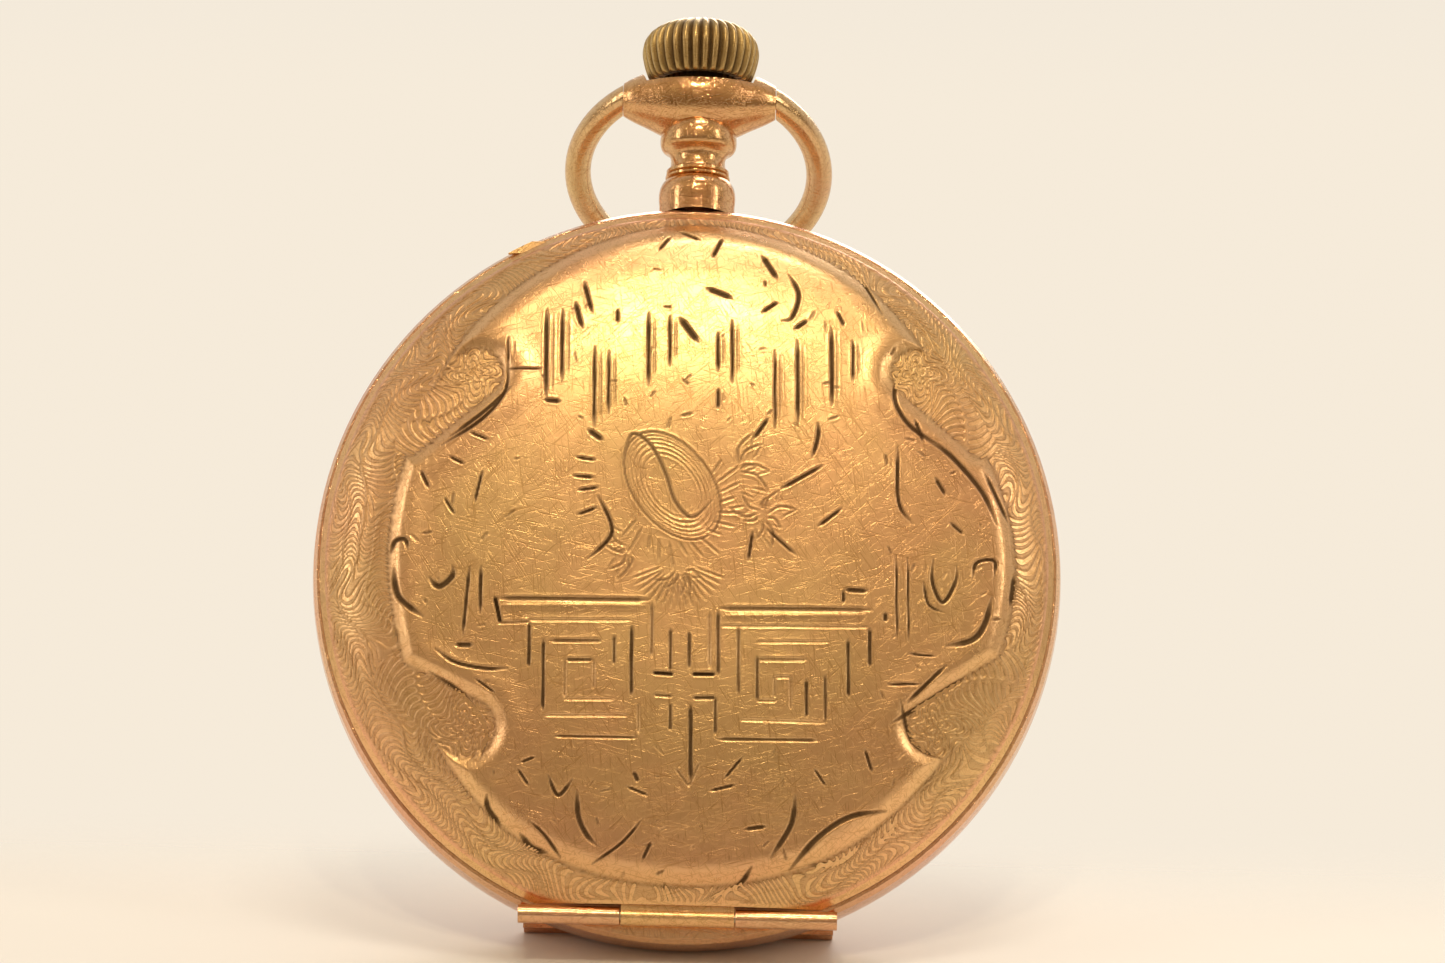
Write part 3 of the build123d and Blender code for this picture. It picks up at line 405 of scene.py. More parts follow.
def bend(x, z, seed):
    """A slow sway that keeps the engraver's rows from running straight."""
    sway = np.sin(x * 0.83 + seed + 1.4 * np.sin(z * 0.61 + seed))
    return sway + 0.6 * np.sin(z * 1.27 + 2.3 * seed)


def scales(along, across, wide, pitch):
    """Stacks of small curved cuts side by side, each stack as wide as told."""
    stack = np.floor(across / wide)
    t = across / wide - stack - 0.5
    flip = np.where(np.mod(stack, 2) > 0.5, 1.0, -1.0)
    phase = (along + flip * 2.3 * (0.25 - t * t) * wide + 0.37 * stack) / pitch
    gap = np.abs(phase - np.floor(phase) - 0.5)
    return np.exp(-((gap / 0.21) ** 2)) * (1 - smooth(0.38, 0.5, np.abs(t)))


rows = scales(GA * 22.5 + 0.5 * bend(GX, GZ, 1.0),
              GR + 0.55 * bend(GX, GZ, 4.0) + 0.5 * np.sin(GA * 13.0), 1.5, 0.50)
# teardrop lobes: middle of the round end, tip that opens into the border, radius of the round end
LOBES = ((-14.9, 14.3, -19.4, 9.4, 2.1), (16.3, 14.2, 20.6, 9.2, 2.1),
         (-15.2, -10.2, -20.4, -6.6, 2.2), (17.2, -10.2, 22.4, -6.2, 2.1))
in_lobe = np.full_like(GX, -50.0)
for ax, az, bx, bz, lobe_r in LOBES:
    (ax, az), (bx, bz) = lay(ax, az), lay(bx, bz)
    long = np.hypot(bx - ax, bz - az)
    t = ((GX - ax) * (bx - ax) + (GZ - az) * (bz - az)) / long**2
    t_in = np.clip(t, 0, 1)
    away = np.hypot(GX - ax - t_in * (bx - ax), GZ - az - t_in * (bz - az))
    here = lobe_r * (1 - 0.45 * t_in) - away
    in_lobe = np.maximum(in_lobe, here)
    swirl = np.arctan2(GZ - az, GX - ax)
    from_middle = np.hypot(GX - ax, GZ - az)
    own = scales(from_middle + swirl * 0.4, swirl * 1.5 + 0.25 * from_middle, 1.2, 0.46)
    rows = np.where(here > 0, own, rows)

# the panel stands up over the border with a rolled edge; the border's rows are cut and dirty,
# and a painted shadow darkens the foot of the panel's step
field = np.minimum(inside, -in_lobe)   # distance into the raised panel
rim = smooth(24.75, 24.35, GR)
raised = smooth(-0.55, 0.75, field)
roll = np.exp(-((field - 1.1) / 0.85) ** 2)
border = smooth(0.05, -0.35, field) * rim
# painted shadow along the foot of the panel's step
step_shadow = np.exp(-(((field + 0.25) / 0.20) ** 2)) * rim
relief = 0.06 + 0.34 * raised + 0.10 * roll * rim - 0.17 * rows * border
# dark layer: dirt in the border's rows, an even darkening of the border, and the painted step
# shadow
dirt_and_shade = np.maximum.reduce([0.95 * rows * border, 0.22 * border, 0.40 * step_shadow])
# rose tint along the border and inside the panel's edge; round the rim it is a painted reflection
rose = 0.15 * border * (0.5 + 0.5 * np.sin(GA * 5 + 1.0))
rose += 0.40 * np.exp(-((field - 1.6) / 1.5) ** 2) * (0.6 + 0.4 * np.sin(GA * 3 + 0.4))
rose = np.maximum(rose, smooth(24.2, 24.9, GR) * 0.8)

# the front lid carries the same border round a plain field with a ring of small cuts
ring_band = smooth(7.2, 7.6, GR) * smooth(9.4, 9.0, GR)
ring_cuts = scales(GA * 8.3, GR + 0.3, 0.9, 0.40) * ring_band
front_relief = relief - 0.08 * ring_cuts
front_dirt_and_shade = np.maximum(dirt_and_shade, 0.7 * ring_cuts)


def cut(points, width=0.22, depth=0.14, dark=0.9, taper=0.5):
    """A graver's cut along a line of points: a V groove that thins out at its ends."""
    spots = [lay(x, z) for x, z in points]
    xs, zs = zip(*spots)
    pad = width * 2 + 0.3
    i0, i1 = np.searchsorted(axis, (min(zs) - pad, max(zs) + pad))
    j0, j1 = np.searchsorted(axis, (min(xs) - pad, max(xs) + pad))
    if i1 <= i0 or j1 <= j0:
        return
    here = (slice(i0, i1), slice(j0, j1))
    px, pz = GX[here], GZ[here]
    lengths = [sqrt((b[0] - a[0]) ** 2 + (b[1] - a[1]) ** 2) for a, b in zip(spots, spots[1:])]
    total = sum(lengths)
    best = np.full_like(px, 1e9)
    share = np.zeros_like(px)
    run = 0.0
    for (ax, az), (bx, bz), length in zip(spots, spots[1:], lengths):
        t = np.clip(((px - ax) * (bx - ax) + (pz - az) * (bz - az)) / max(length**2, 1e-9), 0, 1)
        d = np.hypot(px - ax - t * (bx - ax), pz - az - t * (bz - az))
        closer = d < best
        best = np.where(closer, d, best)
        share = np.where(closer, (run + t * length) / total, share)
        run += length
    body = np.minimum(1.0, (1 - np.abs(2 * share - 1)) / taper + 0.25)
    half = width * 0.42 * body
    groove = np.clip(1 - best / (half + 0.055), 0, 1)
    lip = np.exp(-(((best - half - 0.09) / 0.07) ** 2)) * body
    relief[here] += -depth * groove * body + 0.018 * lip
    dirt_and_shade[here] = np.maximum(dirt_and_shade[here], dark * np.clip(groove * 2.4, 0, 1) * body**0.5)


def curve(points, steps=7):
    """A smooth line through a few points."""
    spots = [points[0]] + list(points) + [points[-1]]
    line = []
    for a, b, c, d in zip(spots, spots[1:], spots[2:], spots[3:]):
        for k in range(steps):
            t = k / steps
            line.append(tuple(
                0.5 * (2 * b[n] + (c[n] - a[n]) * t + (2 * a[n] - 5 * b[n] + 4 * c[n] - d[n]) * t**2
                       + (3 * b[n] - a[n] - 3 * c[n] + d[n]) * t**3) for n in (0, 1)))
    return line + [points[-1]]


# straight falling cuts under the upper edge of the panel: x, top, bottom, width
FRINGE = (
    (-12.6, 16.8, 15.0, 0.12), (-9.9, 18.8, 12.5, 0.30), (-8.8, 18.8, 13.7, 0.22),
    (-6.5, 16.2, 10.4, 0.18), (-5.5, 15.9, 11.4, 0.16), (-2.7, 18.6, 13.4, 0.22),
    (-1.2, 18.4, 14.8, 0.16), (2.2, 17.2, 14.4, 0.18), (2.2, 13.2, 11.8, 0.22),
    (3.2, 18.1, 13.6, 0.16), (6.2, 15.9, 10.4, 0.14), (7.8, 16.6, 10.7, 0.24),
    (10.2, 17.5, 12.0, 0.30), (11.7, 16.6, 13.7, 0.16),
)
for x, z_top, z_low, width in FRINGE:
    cut([(x, z_top), (x, z_low)], width)
    cut([(x + 0.42, z_top - 0.3), (x + 0.42, z_low + 0.5)], 0.10, 0.05, 0.25)
# short cuts, each two ends and a width
SHORT = (
    ((-10.0, 12.4), (-8.9, 12.3), 0.34), ((-6.9, 10.3), (-5.9, 9.6), 0.40),
    ((-12.6, 14.6), (-10.2, 14.6), 0.12), ((-0.5, 18.2), (0.8, 16.5), 0.50),
    ((-7.3, 20.7), (-6.7, 18.6), 0.30), ((-7.9, 19.3), (-7.4, 17.5), 0.34),
    ((-4.9, 18.8), (-4.9, 17.9), 0.22), ((5.3, 22.5), (6.4, 20.9), 0.42),
    ((5.3, 18.6), (6.4, 19.3), 0.24), ((7.6, 17.4), (8.5, 18.0), 0.28),
    ((10.6, 18.6), (11.1, 17.6), 0.22), ((1.4, 20.3), (3.2, 19.6), 0.44),
    ((-0.5, 24.2), (0.9, 23.6), 0.20), ((2.5, 23.7), (1.8, 22.4), 0.26),
    ((-2.0, 22.9), (-1.2, 23.8), 0.18), ((5.7, 11.1), (4.7, 9.7), 0.24),
    ((6.6, 6.2), (9.5, 7.8), 0.26), ((10.8, 4.8), (9.2, 3.6), 0.22),
    ((20.9, 7.1), (22.4, 3.8), 0.30), ((22.8, 0.1), (22.5, -2.0), 0.42),
    ((-15.1, 0.8), (-15.5, -4.0), 0.24), ((-14.3, 0.8), (-14.3, -2.5), 0.26),
    ((-16.0, -4.6), (-14.8, -4.6), 0.40), ((-14.6, -6.9), (-13.2, -7.9), 0.20),
    ((4.6, 3.2), (4.3, 1.2), 0.22), ((5.6, 3.4), (7.6, 1.6), 0.18),
    ((-7.7, 8.4), (-6.4, 8.2), 0.18), ((-7.9, 7.1), (-6.5, 7.0), 0.20),
    ((-7.6, 6.1), (-6.2, 6.3), 0.20), ((-7.6, 4.4), (-6.3, 4.9), 0.20),
    ((-3.6, -13.2), (-3.3, -13.9), 0.36), ((-4.1, -14.2), (-2.6, -14.8), 0.22),
    ((-2.4, -17.9), (-3.0, -19.2), 0.26), ((-1.5, -20.7), (-1.0, -22.0), 0.34),
    ((3.9, -12.2), (2.6, -13.7), 0.18), ((1.6, -14.5), (3.4, -14.1), 0.22),
    ((4.0, -17.1), (5.5, -16.9), 0.32), ((12.3, -11.7), (12.8, -13.3), 0.24),
    ((13.9, -7.3), (16.2, -7.3), 0.18), ((18.0, -6.0), (15.3, -8.5), 0.30),
    ((19.5, -6.7), (14.1, -10.0), 0.34), ((18.8, -14.5), (17.8, -14.8), 0.30),
    ((11.0, -0.8), (12.6, -0.9), 0.36), ((10.9, -0.9), (10.9, -1.7), 0.24),
    ((13.8, -2.4), (13.8, -3.0), 0.34), ((-18.4, 10.9), (-17.2, 10.2), 0.22),
    ((-18.6, 7.4), (-18.0, 6.2), 0.26), ((-16.6, 8.4), (-15.6, 7.9), 0.20),
    ((-15.2, 10.1), (-13.9, 9.6), 0.16), ((-14.3, 7.4), (-14.8, 5.2), 0.18),
    ((-16.9, 5.5), (-16.2, 4.4), 0.18), ((16.0, 11.0), (16.6, 9.4), 0.24),
    ((17.4, 6.9), (18.1, 5.7), 0.26), ((18.4, 3.8), (19.3, 3.0), 0.20),
    ((14.6, 1.6), (14.6, -4.2), 0.14), ((15.4, 1.4), (15.4, -4.4), 0.12),
    ((15.4, -5.2), (17.2, -5.4), 0.16), ((-11.6, -13.0), (-10.8, -14.2), 0.22),
    ((-10.4, -12.2), (-11.4, -12.6), 0.20), ((8.8, -13.0), (9.6, -14.2), 0.20),
)
for start, end, width in SHORT:
    cut([start, end], width)
# bent and curled cuts, each a few points and a width
CURLED = (
    (((7.2, 21.2), (7.9, 19.8), (7.4, 18.2), (6.7, 18.0)), 0.30),
    (((10.1, 22.5), (12.0, 21.2), (13.8, 18.3)), 0.28),
    (((16.6, 9.7), (18.4, 8.5), (20.6, 5.9), (21.6, 3.6)), 0.40),
    (((9.2, 10.8), (9.2, 9.8), (8.8, 8.4)), 0.28), (((14.8, 9.1), (14.8, 5.3), (15.8, 3.7)), 0.26),
    (((17.2, 1.3), (17.1, -0.3), (17.8, -1.7), (18.7, -0.3), (18.8, 0.8)), 0.28),
    (((16.5, -0.3), (16.8, -1.8), (17.8, -2.4)), 0.18),
    (((19.9, -0.1), (20.2, 1.0), (21.4, 1.1), (21.4, -0.1)), 0.26),
    (((21.2, -1.4), (20.7, -3.2), (19.8, -4.3), (18.0, -4.7)), 0.50),
    (((-12.4, 13.3), (-14.2, 11.6), (-16.6, 9.8)), 0.34),
    (((-20.6, 1.7), (-20.3, 2.5), (-19.6, 2.6), (-19.4, 1.9)), 0.36),
    (((-20.4, 0.6), (-20.0, -1.3), (-18.3, -2.7)), 0.50),
    (((-17.9, 0.0), (-17.2, -0.6), (-16.3, 0.1), (-16.3, 0.8)), 0.48),
    (((-17.4, -4.9), (-16.0, -5.8), (-14.0, -6.2), (-12.3, -6.2)), 0.28),
    (((-6.9, 1.3), (-5.2, 3.2), (-6.2, 5.7)), 0.26),
    (((-9.5, -13.4), (-8.8, -14.8), (-7.8, -13.7)), 0.30),
    (((-7.5, -14.4), (-7.4, -16.2), (-6.8, -17.5), (-6.0, -18.3)), 0.44),
    (((-13.7, -14.8), (-13.6, -15.7), (-12.7, -16.9)), 0.42),
    (((-11.4, -17.4), (-10.6, -18.3), (-9.5, -18.7)), 0.46),
    (((-10.8, -16.5), (-9.7, -17.5), (-8.6, -19.0)), 0.24),
    (((7.5, -14.8), (7.2, -16.8), (5.8, -19.0)), 0.44),
    (((7.1, -19.8), (9.0, -17.7), (11.2, -16.3), (13.7, -15.9)), 0.46),
    (((8.4, -19.5), (10.5, -19.3), (12.0, -18.1)), 0.42),
    (((14.5, -15.9), (14.1, -17.2), (13.2, -18.0)), 0.34),
    (((4.5, -19.6), (3.6, -20.8), (1.7, -21.6)), 0.36),
    (((-17.8, -6.4), (-15.4, -8.0), (-13.8, -10.4), (-14.2, -12.4)), 0.30),
    (((15.6, 15.4), (14.6, 12.8), (15.6, 10.6), (18.0, 9.0)), 0.34),
    (((-12.6, 15.2), (-12.8, 13.0), (-14.4, 11.0), (-17.2, 9.2)), 0.26),
    (((14.8, -8.4), (15.6, -11.2), (17.6, -12.4)), 0.28),
    (((-3.0, -16.4), (-4.4, -18.0), (-6.4, -19.4)), 0.22),
)
for points, width in CURLED:
    cut(curve(points), width, taper=0.6)
# the square-cornered keys: every bar and leg, with its width and how dark it is
KEYS = (
    ((-13.2, -1.4), (-2.6, -1.5), 0.30, 0.75), ((-13.3, -1.3), (-12.9, -3.1), 0.34, 1.0),
    ((-13.0, -3.1), (-10.9, -3.0), 0.16, 0.6), ((-10.9, -2.9), (-3.9, -2.9), 0.14, 0.3),
    ((-10.9, -3.1), (-10.9, -6.1), 0.26, 0.9), ((-9.9, -4.2), (-9.9, -9.1), 0.24, 0.9),
    ((-5.0, -4.0), (-5.0, -5.9), 0.22, 0.8), ((-3.8, -3.3), (-3.8, -8.1), 0.26, 0.9),
    ((-2.4, -1.8), (-2.4, -5.4), 0.18, 0.6), ((-9.4, -4.3), (-5.9, -4.3), 0.24, 0.7),
    ((-8.3, -5.6), (-6.5, -5.6), 0.24, 0.8), ((-8.4, -5.6), (-8.4, -8.2), 0.14, 0.4),
    ((-6.4, -5.7), (-6.4, -7.6), 0.14, 0.4), ((-8.4, -8.3), (-5.0, -8.3), 0.12, 0.3),
    ((-9.8, -9.4), (-4.0, -9.4), 0.12, 0.35), ((-9.1, -10.8), (-3.4, -10.9), 0.20, 0.8),
    ((-3.3, -8.6), (-3.3, -10.6), 0.12, 0.4), ((2.3, -2.1), (12.8, -2.2), 0.32, 0.7),
    ((2.4, -3.3), (12.6, -3.4), 0.14, 0.35), ((2.2, -2.3), (2.2, -6.7), 0.24, 0.8),
    ((2.0, -8.2), (2.0, -10.7), 0.22, 0.8), ((2.1, -11.0), (9.1, -11.1), 0.22, 0.8),
    ((3.6, -3.3), (3.6, -8.1), 0.20, 0.7), ((4.9, -5.4), (4.9, -8.4), 0.22, 0.8),
    ((4.9, -8.4), (6.2, -8.4), 0.16, 0.5), ((4.9, -5.6), (8.3, -5.6), 0.26, 0.5),
    ((8.3, -7.0), (8.3, -9.5), 0.24, 0.9), ((9.6, -6.7), (9.6, -9.8), 0.20, 0.8),
    ((11.2, -4.2), (11.2, -8.2), 0.24, 0.9), ((12.7, -3.5), (12.7, -6.1), 0.28, 0.9),
    ((4.9, -4.4), (9.8, -4.4), 0.12, 0.3), ((6.1, -6.8), (7.2, -6.8), 0.14, 0.4),
    ((6.1, -6.8), (6.1, -8.2), 0.12, 0.4), ((3.7, -9.7), (9.6, -9.9), 0.12, 0.3),
    ((7.2, -6.8), (7.2, -9.0), 0.12, 0.4), ((-1.1, -3.5), (-1.1, -6.4), 0.20, 0.8),
    ((0.2, -3.7), (0.2, -6.2), 0.24, 0.8), ((1.6, -2.4), (1.6, -6.2), 0.14, 0.4),
    ((-2.3, -6.5), (-0.9, -6.6), 0.30, 1.0), ((0.4, -6.6), (2.0, -6.6), 0.30, 1.0),
    ((-2.2, -8.0), (-1.0, -8.1), 0.20, 0.7), ((0.5, -8.2), (2.0, -8.2), 0.26, 0.9),
    ((-1.1, -8.6), (-1.1, -10.4), 0.22, 0.8), ((0.3, -8.7), (0.3, -13.8), 0.34, 0.9),
    ((-0.7, -13.0), (0.2, -14.2), 0.18, 0.6), ((0.2, -14.2), (0.9, -12.6), 0.14, 0.5),
)
for start, end, width, dark in KEYS:
    cut([start, end], width, 0.12, dark, taper=0.2)
# raised bright edge over each key's top bar
for x0, x1, z in ((-13.0, -2.8, -1.9), (2.6, 12.4, -2.6)):
    cut([(x0, z), (x1, z)], 0.5, -0.06, 0.0, taper=0.15)


def polar(middle, reach, a, reach_z=None):
    """The point at a distance and direction from a middle."""
    return (middle[0] + reach * cos(a), middle[1] + (reach_z or reach) * sin(a))


# the oval swirl: rings that shrink inwards, with width and darkness, and the wave across them
OVAL, OVAL_LONG, OVAL_WIDE, OVAL_LEAN = (-1.0, 6.4), 4.3, 2.7, radians(-52)
for scale, width, dark in ((1.0, 0.13, 0.6), (0.93, 0.06, 0.25), (0.86, 0.06, 0.2),
                           (0.78, 0.05, 0.2), (0.69, 0.05, 0.15), (0.59, 0.05, 0.15)):
    ring_points = []
    for k in range(29):
        ex, ez = polar((0, 0), OVAL_LONG * scale, 2 * pi * k / 28, OVAL_WIDE * scale)
        ring_points.append((OVAL[0] + ex * cos(OVAL_LEAN) - ez * sin(OVAL_LEAN),
                            OVAL[1] + ex * sin(OVAL_LEAN) + ez * cos(OVAL_LEAN)))
    cut(ring_points, width, 0.035, dark, taper=0.05)
cut(curve([(-4.5, 8.3), (-3.8, 10.0), (-2.5, 9.2), (-1.5, 7.3), (-0.8, 5.3), (0.4, 4.2),
           (1.8, 5.4)]), 0.20, 0.09, 0.7)
# rays round the swirl and the fan of hairlines below it
RAYS_AT, FAN_AT = (-0.8, 5.6), (-0.6, 1.2)
for k in range(15):
    a = radians(-150 + k * 13)
    cut([polar(RAYS_AT, 3.1, a), polar(RAYS_AT, 4.6 + 0.5 * sin(k * 2.1), a + 0.12)],
        0.13, 0.05, 0.35)
for k in range(17):
    a = radians(-158 + k * 8.5)
    cut([polar(FAN_AT, 1.3, a), polar(FAN_AT, 3.5, a, 3.3)], 0.09, 0.045, 0.35)
# flowers and leaves: middle, petals, length, first direction and sweep
FLOWERS = (((5.3, 4.4), 9, 2.5, 8, 360), ((3.4, 7.6), 5, 3.0, -35, 120),
           ((-3.9, 1.9), 6, 2.4, 130, 170), ((-0.4, 0.6), 7, 2.2, 200, 150))
for middle, petals, size, first, sweep in FLOWERS:
    for k in range(petals):
        a = radians(first + k * sweep / petals + 9 * sin(k * 2.3))
        reach = size * (0.75 + 0.25 * sin(k * 1.9 + 1))
        tip = polar(middle, reach, a)
        belly = polar(middle, 0.55 * reach, a + 0.3)
        cut(curve([polar(middle, 0.4, a), belly, tip], 4), 0.10, 0.05, 0.55)
        cut([polar(middle, 0.6 * reach, a - 0.25), tip], 0.07, 0.04, 0.35)
# small scattered nicks round the panel, clear of the keys and the swirl
rnd = random.Random(7)
for k in range(120):
    a, r = rnd.uniform(0, 2 * pi), 4 + 18 * sqrt(rnd.random())
    x, z = r * cos(a), r * sin(a)
    if -12 < x < 13 and -11 < z < 10:
        continue
    tilt = rnd.uniform(0, pi)
    length = rnd.uniform(0.3, 0.9)
    width, dark = rnd.uniform(0.08, 0.2), rnd.uniform(0.2, 0.7)
    cut([(x, z), polar((x, z), length, tilt)], width, 0.05, dark)

# the sheet's own edge dips into the cover at the rim and beside the hinge
sink = np.minimum(smooth(EDGE_R, EDGE_R - 0.30, GR), smooth(HINGE_EDGE, HINGE_EDGE + 0.35, GZ))
plain_dome = dome_height(GR) - SINK * (1 - sink)


def skin(name, keep, heights, dark, side, body):
    """One piece of engraved skin from the cells to keep, on the back (1) or the front (-1)."""
    corner = np.zeros(GX.shape, bool)
    for a in (0, 1):
        for b in (0, 1):
            corner[a:a + keep.shape[0], b:b + keep.shape[1]] |= keep
    number = np.full(GX.shape, -1, int)
    number[corner] = np.arange(corner.sum())
    points = np.column_stack([side * GX[corner], -side * heights[corner], GZ[corner]]) * MM
    i, j = np.nonzero(keep)
    quads = np.column_stack([number[i, j], number[i, j + 1],
                             number[i + 1, j + 1], number[i + 1, j]])
    mesh = bpy.data.meshes.new(name)
    mesh.vertices.add(len(points))
    mesh.vertices.foreach_set("co", points.ravel())
    mesh.loops.add(quads.size)
    mesh.loops.foreach_set("vertex_index", quads.ravel())
    mesh.polygons.add(len(quads))
    mesh.polygons.foreach_set("loop_start", np.arange(0, quads.size, 4))
    mesh.update(calc_edges=True)
    mesh.polygons.foreach_set("use_smooth", np.ones(len(quads), bool))
    for layer, values in (("dirt_and_shade", dark), ("rose", rose)):
        attribute = mesh.attributes.new(layer, "FLOAT", "POINT")
        attribute.data.foreach_set("value", np.clip(values[corner], 0, 1).astype(np.float32))
    mesh.validate()
    mesh.materials.append(cover_gold)
    piece = put(name, mesh)
    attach(piece, body)


cell_x = GX[:-1, :-1] + CELL / 2
cell_z = GZ[:-1, :-1] + CELL / 2
cell_r = np.hypot(cell_x, cell_z)
whole = (cell_r < EDGE_R) & (cell_z > HINGE_EDGE)
back_heights = plain_dome + relief * sink
front_heights = plain_dome + front_relief * sink
for name, low, high in (("engraved_middle", 0.0, 12.5), ("engraved_panel", 12.5, 17.7),
                        ("engraved_shoulder", 17.7, 21.6), ("engraved_border", 21.6, 26.0)):
    keep = whole & (cell_r >= low) & (cell_r < high)
    skin(name, keep, back_heights, dirt_and_shade, 1, "back_cover")
    skin("front_" + name, keep, front_heights, front_dirt_and_shade, -1, "front_lid")

# ---- crown ----
# A thin gold shell crimped over a brass core. Its rounded ribs run from the lower edge up and
# over the shoulder, and painted shade darkens the grooves between them.
crown_metal = gold("crown_metal", (0.66, 0.47, 0.19), (0.56, 0.38, 0.16), 0.24, engraved=True)
RIBS, RIB_DEPTH = 34, 0.30
RIBS_FADE = (1.7, 3.5)                 # radii between which the ribs come up out of the flat top


def between_ribs(a):
    """1 in the groove between two ribs, 0 on top of a rib."""
    return 0.5 - 0.5 * cos(RIBS * a)


def ribbed(name, rows, dents, around):
    """A solid turned about the vertical axis from (radius, height) rows, grooved by the dents."""
    body = bmesh.new()
    angles = [2 * pi * k / around for k in range(around)]
    rings = []
    for (r, z), deep in zip(rows, dents):
        if r == 0:
            rings.append([body.verts.new((0, 0, z * MM))] * around)
            continue
        line = []
        for a in angles:
            near = r - deep * between_ribs(a) ** 1.6
            line.append(body.verts.new((near * cos(a) * MM, near * sin(a) * MM, z * MM)))
        rings.append(line)
    for low, high in zip(rings, rings[1:]):
        for k in range(around):
            spots = []
            for v in (low[k], low[(k + 1) % around], high[(k + 1) % around], high[k]):
                if v not in spots:
                    spots.append(v)
            body.faces.new(spots)
    bmesh.ops.recalc_face_normals(body, faces=body.faces)
    mesh = bpy.data.meshes.new(name)
    body.to_mesh(mesh)
    body.free()
    mesh.polygons.foreach_set("use_smooth", [True] * len(mesh.polygons))
    return put(name, mesh)


def pick(piece):
    """Selects one piece alone."""
    bpy.ops.object.select_all(action="DESELECT")
    bpy.context.view_layer.objects.active = piece
    piece.select_set(True)


# radius and height from the top down the outside, then the lower lip and the socket for the core
crown_line = curve([(0.5, 40.4), (1.2, 40.36), (1.9, 40.28), (2.9, 40.0), (3.68, 39.5),
                    (4.08, 38.9), (4.2, 38.2), (4.08, 37.4), (3.86, 36.65), (3.6, 36.12)], 4)
crown_dents = [RIB_DEPTH * float(smooth(*RIBS_FADE, r)) for r, z in crown_line]
crown_line = [(0, 40.4)] + crown_line + [(3.45, 36.0), (2.9, 36.0), (2.9, 38.6), (0, 38.6)]
crown_dents = [0.0] + crown_dents + [0.25, 0.0, 0.0, 0.0]
crown = ribbed("crown", crown_line, crown_dents, RIBS * 12)
pick(crown)
bpy.ops.object.shade_smooth_by_angle(angle=radians(50))
# painted shade in the grooves between the ribs, over a slight even darkening of the whole crown
groove_shade = crown.data.attributes.new("dirt_and_shade", "FLOAT", "POINT")
for v, item in zip(crown.data.vertices, groove_shade.data):
    groove = between_ribs(atan2(v.co.y, v.co.x)) ** 2
    out = float(smooth(*RIBS_FADE, sqrt(v.co.x**2 + v.co.y**2) / MM))
    item.value = 0.75 * groove * out + 0.12
crown.data.materials.append(crown_metal)
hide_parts("crown_shell")
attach(crown, "crown")

# ---- steel, nickel, brass and ruby of the movement ----
# Plates are nickel with a damascened finish, screws and hands are blued steel, wheels are gilt
# brass and the pivots run in pressed red jewels. The dial is covered by a domed crystal.


def metal(name, colour, rough, second=None, stripes=False):
    """Bare metal, clouded between two colours or striped with them."""
    made, tree, shader = new_material(name)
    socket(shader, "Metallic", 1.0)
    place = add(tree, "ShaderNodeTexCoord").outputs["Object"]
    cloudy = noise_of(tree, place, 900.0, Detail=4.0)
    tint = mix_colour(tree, first=colour, second=second or tuple(c * 0.82 for c in colour))
    source = cloudy
    if stripes:
        wave = add(tree, "ShaderNodeTexWave", Scale=160.0, Distortion=0.6, Detail=0.0,
                   bands_direction="DIAGONAL")
        tree.links.new(place, wave.inputs["Vector"])
        source = wave.outputs["Fac"]
    rub = span(tree, 0.0, 1.0, max(rough - 0.06, 0.04), rough + 0.08, source=source)
    bump = add(tree, "ShaderNodeBump", Strength=0.15, Distance=FINEST)
    wire(tree, (source, tint.inputs[0]), (tint.outputs[2], shader.inputs["Base Color"]),
         (rub.outputs["Result"], shader.inputs["Roughness"]),
         (cloudy, bump.inputs["Height"]), (bump.outputs["Normal"], shader.inputs["Normal"]))
    return made


nickel = metal("nickel", (0.78, 0.76, 0.71), 0.24, (0.60, 0.59, 0.56), stripes=True)
steel = metal("steel", (0.62, 0.62, 0.63), 0.22)
spring_steel = metal("spring_steel", (0.40, 0.41, 0.43), 0.30)
hinge_steel = metal("hinge_steel", (0.50, 0.40, 0.28), 0.35)
blued = metal("blued_steel", (0.05, 0.09, 0.30), 0.18, (0.09, 0.07, 0.24))
brass = metal("brass", (0.78, 0.58, 0.27), 0.28)
gilt = metal("gilt_brass", (0.86, 0.66, 0.32), 0.20)


def clear_stone(name, colour, rough, see_through, bending):
    """Glass or jewel; bending is how strongly it bends light."""
    made, tree, shader = new_material(name)
    for setting, value in (("Base Color", colour + (1,)), ("Roughness", rough),
                           ("Transmission Weight", see_through), ("IOR", bending)):
        socket(shader, setting, value)
    return made


ruby = clear_stone("ruby", (0.55, 0.02, 0.07), 0.08, 0.35, 1.76)
glass = clear_stone("crystal_glass", (0.97, 0.98, 0.98), 0.03, 1.0, 1.1)
FINISHES = {"nickel": nickel, "steel": steel, "spring_steel": spring_steel,
            "hinge_steel": hinge_steel, "blued_steel": blued, "brass": brass,
            "train_brass": gilt, "ruby": ruby, "crystal": glass}
for entry in frame["record"]["subparts"]:
    if entry["material_slot"] in FINISHES:
        dress(entry["node"], FINISHES[entry["material_slot"]])

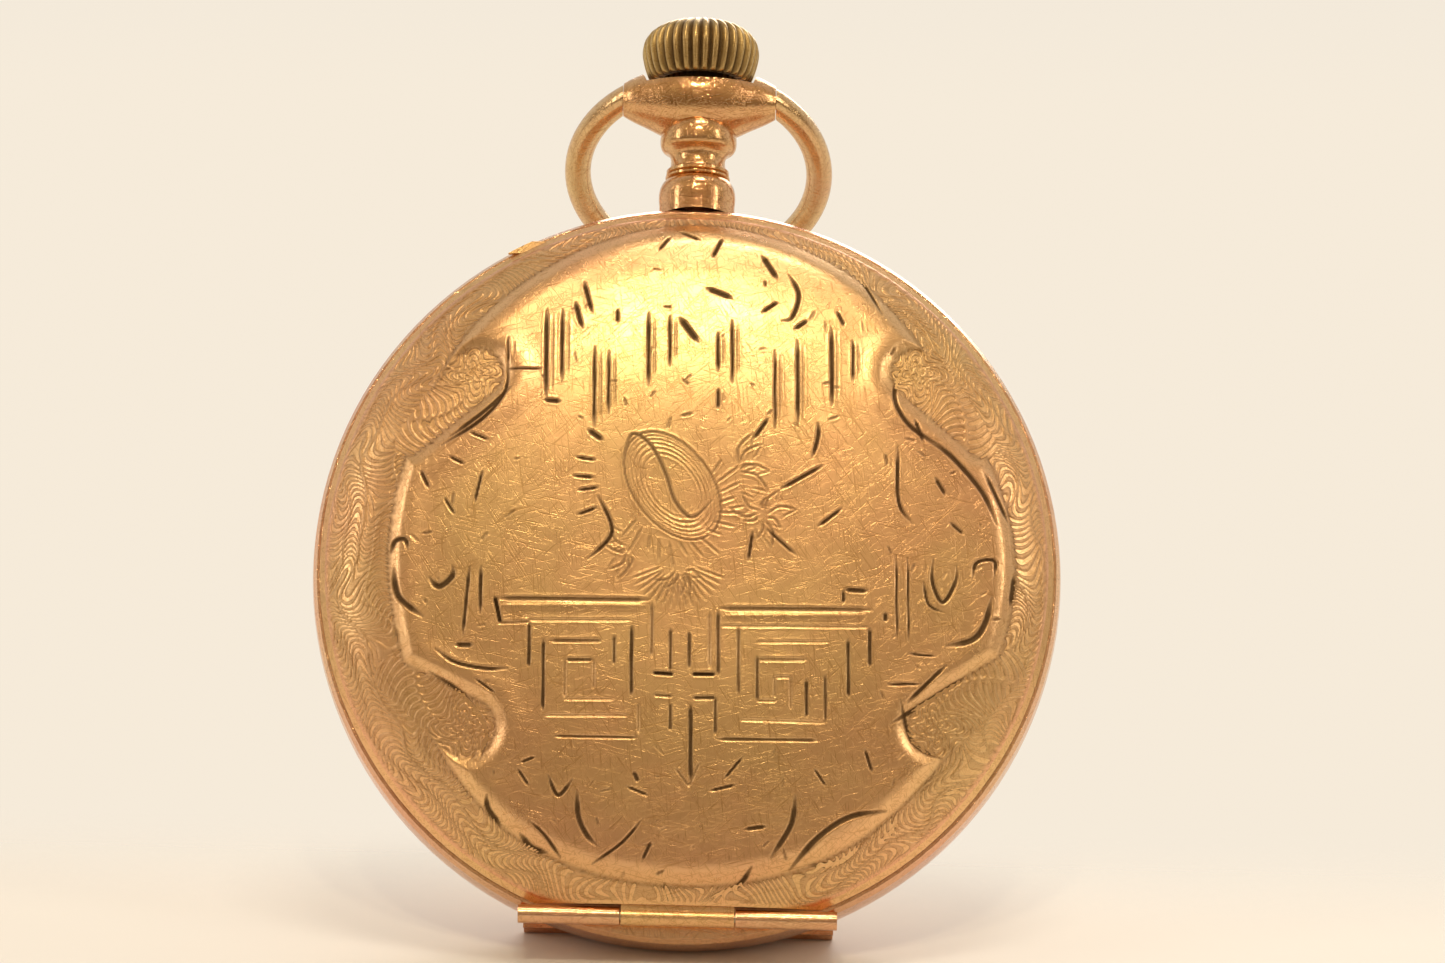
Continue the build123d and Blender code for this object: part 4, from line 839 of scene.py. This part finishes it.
# ---- dial ----
# White enamel fired on copper, slightly glossy, held by feet in the main plate. Black numerals and
# a railway track of minutes are fired into it, and a small track of seconds at 6 o'clock.
enamel, tree, shader = new_material("enamel")
place = add(tree, "ShaderNodeTexCoord").outputs["Object"]
tone = mix_colour(tree, first=(0.90, 0.885, 0.84), second=(0.84, 0.82, 0.77))
wire(tree, (noise_of(tree, place, 300.0, Detail=3.0), tone.inputs[0]),
     (tone.outputs[2], shader.inputs["Base Color"]))
socket(shader, "Roughness", 0.12)
dress("dial", enamel)
ink, tree, shader = new_material("dial_ink")
socket(shader, "Base Color", (0.015, 0.015, 0.018, 1))
socket(shader, "Roughness", 0.3)
DIAL_FACE = 3.4
NUMERAL_RING, NUMERAL_SIZE, INK_THICK = 15.0, 4.6, 0.03
SECONDS_DOWN = 10.5                    # the seconds circle stands this far below the middle


def on_dial(piece):
    """Turns a flat piece drawn in x and y, 12 o'clock up, on to the dial face."""
    pick(piece)
    if piece.type != "MESH":
        bpy.ops.object.convert(target="MESH")
    piece = bpy.context.object
    rows = Matrix(((0, 1, 0, 0), (0, 0, 1, DIAL_FACE * MM), (1, 0, 0, 0), (0, 0, 0, 1)))
    piece.data.transform(rows @ piece.matrix_world)
    piece.matrix_world = Matrix.Identity(4)
    piece.data.materials.clear()
    piece.data.materials.append(ink)
    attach(piece, "case")


for hour in (1, 2, 3, 4, 5, 7, 8, 9, 10, 11, 12):
    a = radians(90 - hour * 30)
    letters = bpy.data.curves.new(f"numeral_{hour}", "FONT")
    letters.body = str(hour)
    letters.size = NUMERAL_SIZE * MM
    letters.align_x = letters.align_y = "CENTER"
    letters.extrude = INK_THICK * MM
    number = put(f"numeral_{hour}", letters)
    number.matrix_world = Matrix.Translation(
        (NUMERAL_RING * MM * cos(a), NUMERAL_RING * MM * sin(a), 0.0))
    bpy.context.view_layer.update()
    on_dial(number)
marks = bmesh.new()


def mark(down, r_in, r_out, half, a):
    """One bar of a track round a middle so far below the dial's, as a thin raised quad."""
    corners = []
    for r, s in ((r_in, -half), (r_in, half), (r_out, half), (r_out, -half)):
        x = r * cos(a) - s * sin(a)
        y = r * sin(a) + s * cos(a) - down
        corners.append(marks.verts.new((x * MM, y * MM, 0.02 * MM)))
    marks.faces.new(corners)


for minute in range(60):
    a = radians(minute * 6)
    fifth = minute % 5 == 0
    mark(0, 18.3, 19.3, 0.16 if fifth else 0.06, a)
    mark(0, 18.22, 18.34, 0.98, a)
    mark(0, 19.28, 19.40, 1.03, a)
    mark(SECONDS_DOWN, 3.0, 3.6, 0.07 if fifth else 0.03, a)
track_mesh = bpy.data.meshes.new("minute_track")
marks.to_mesh(track_mesh)
marks.free()
on_dial(put("minute_track", track_mesh))
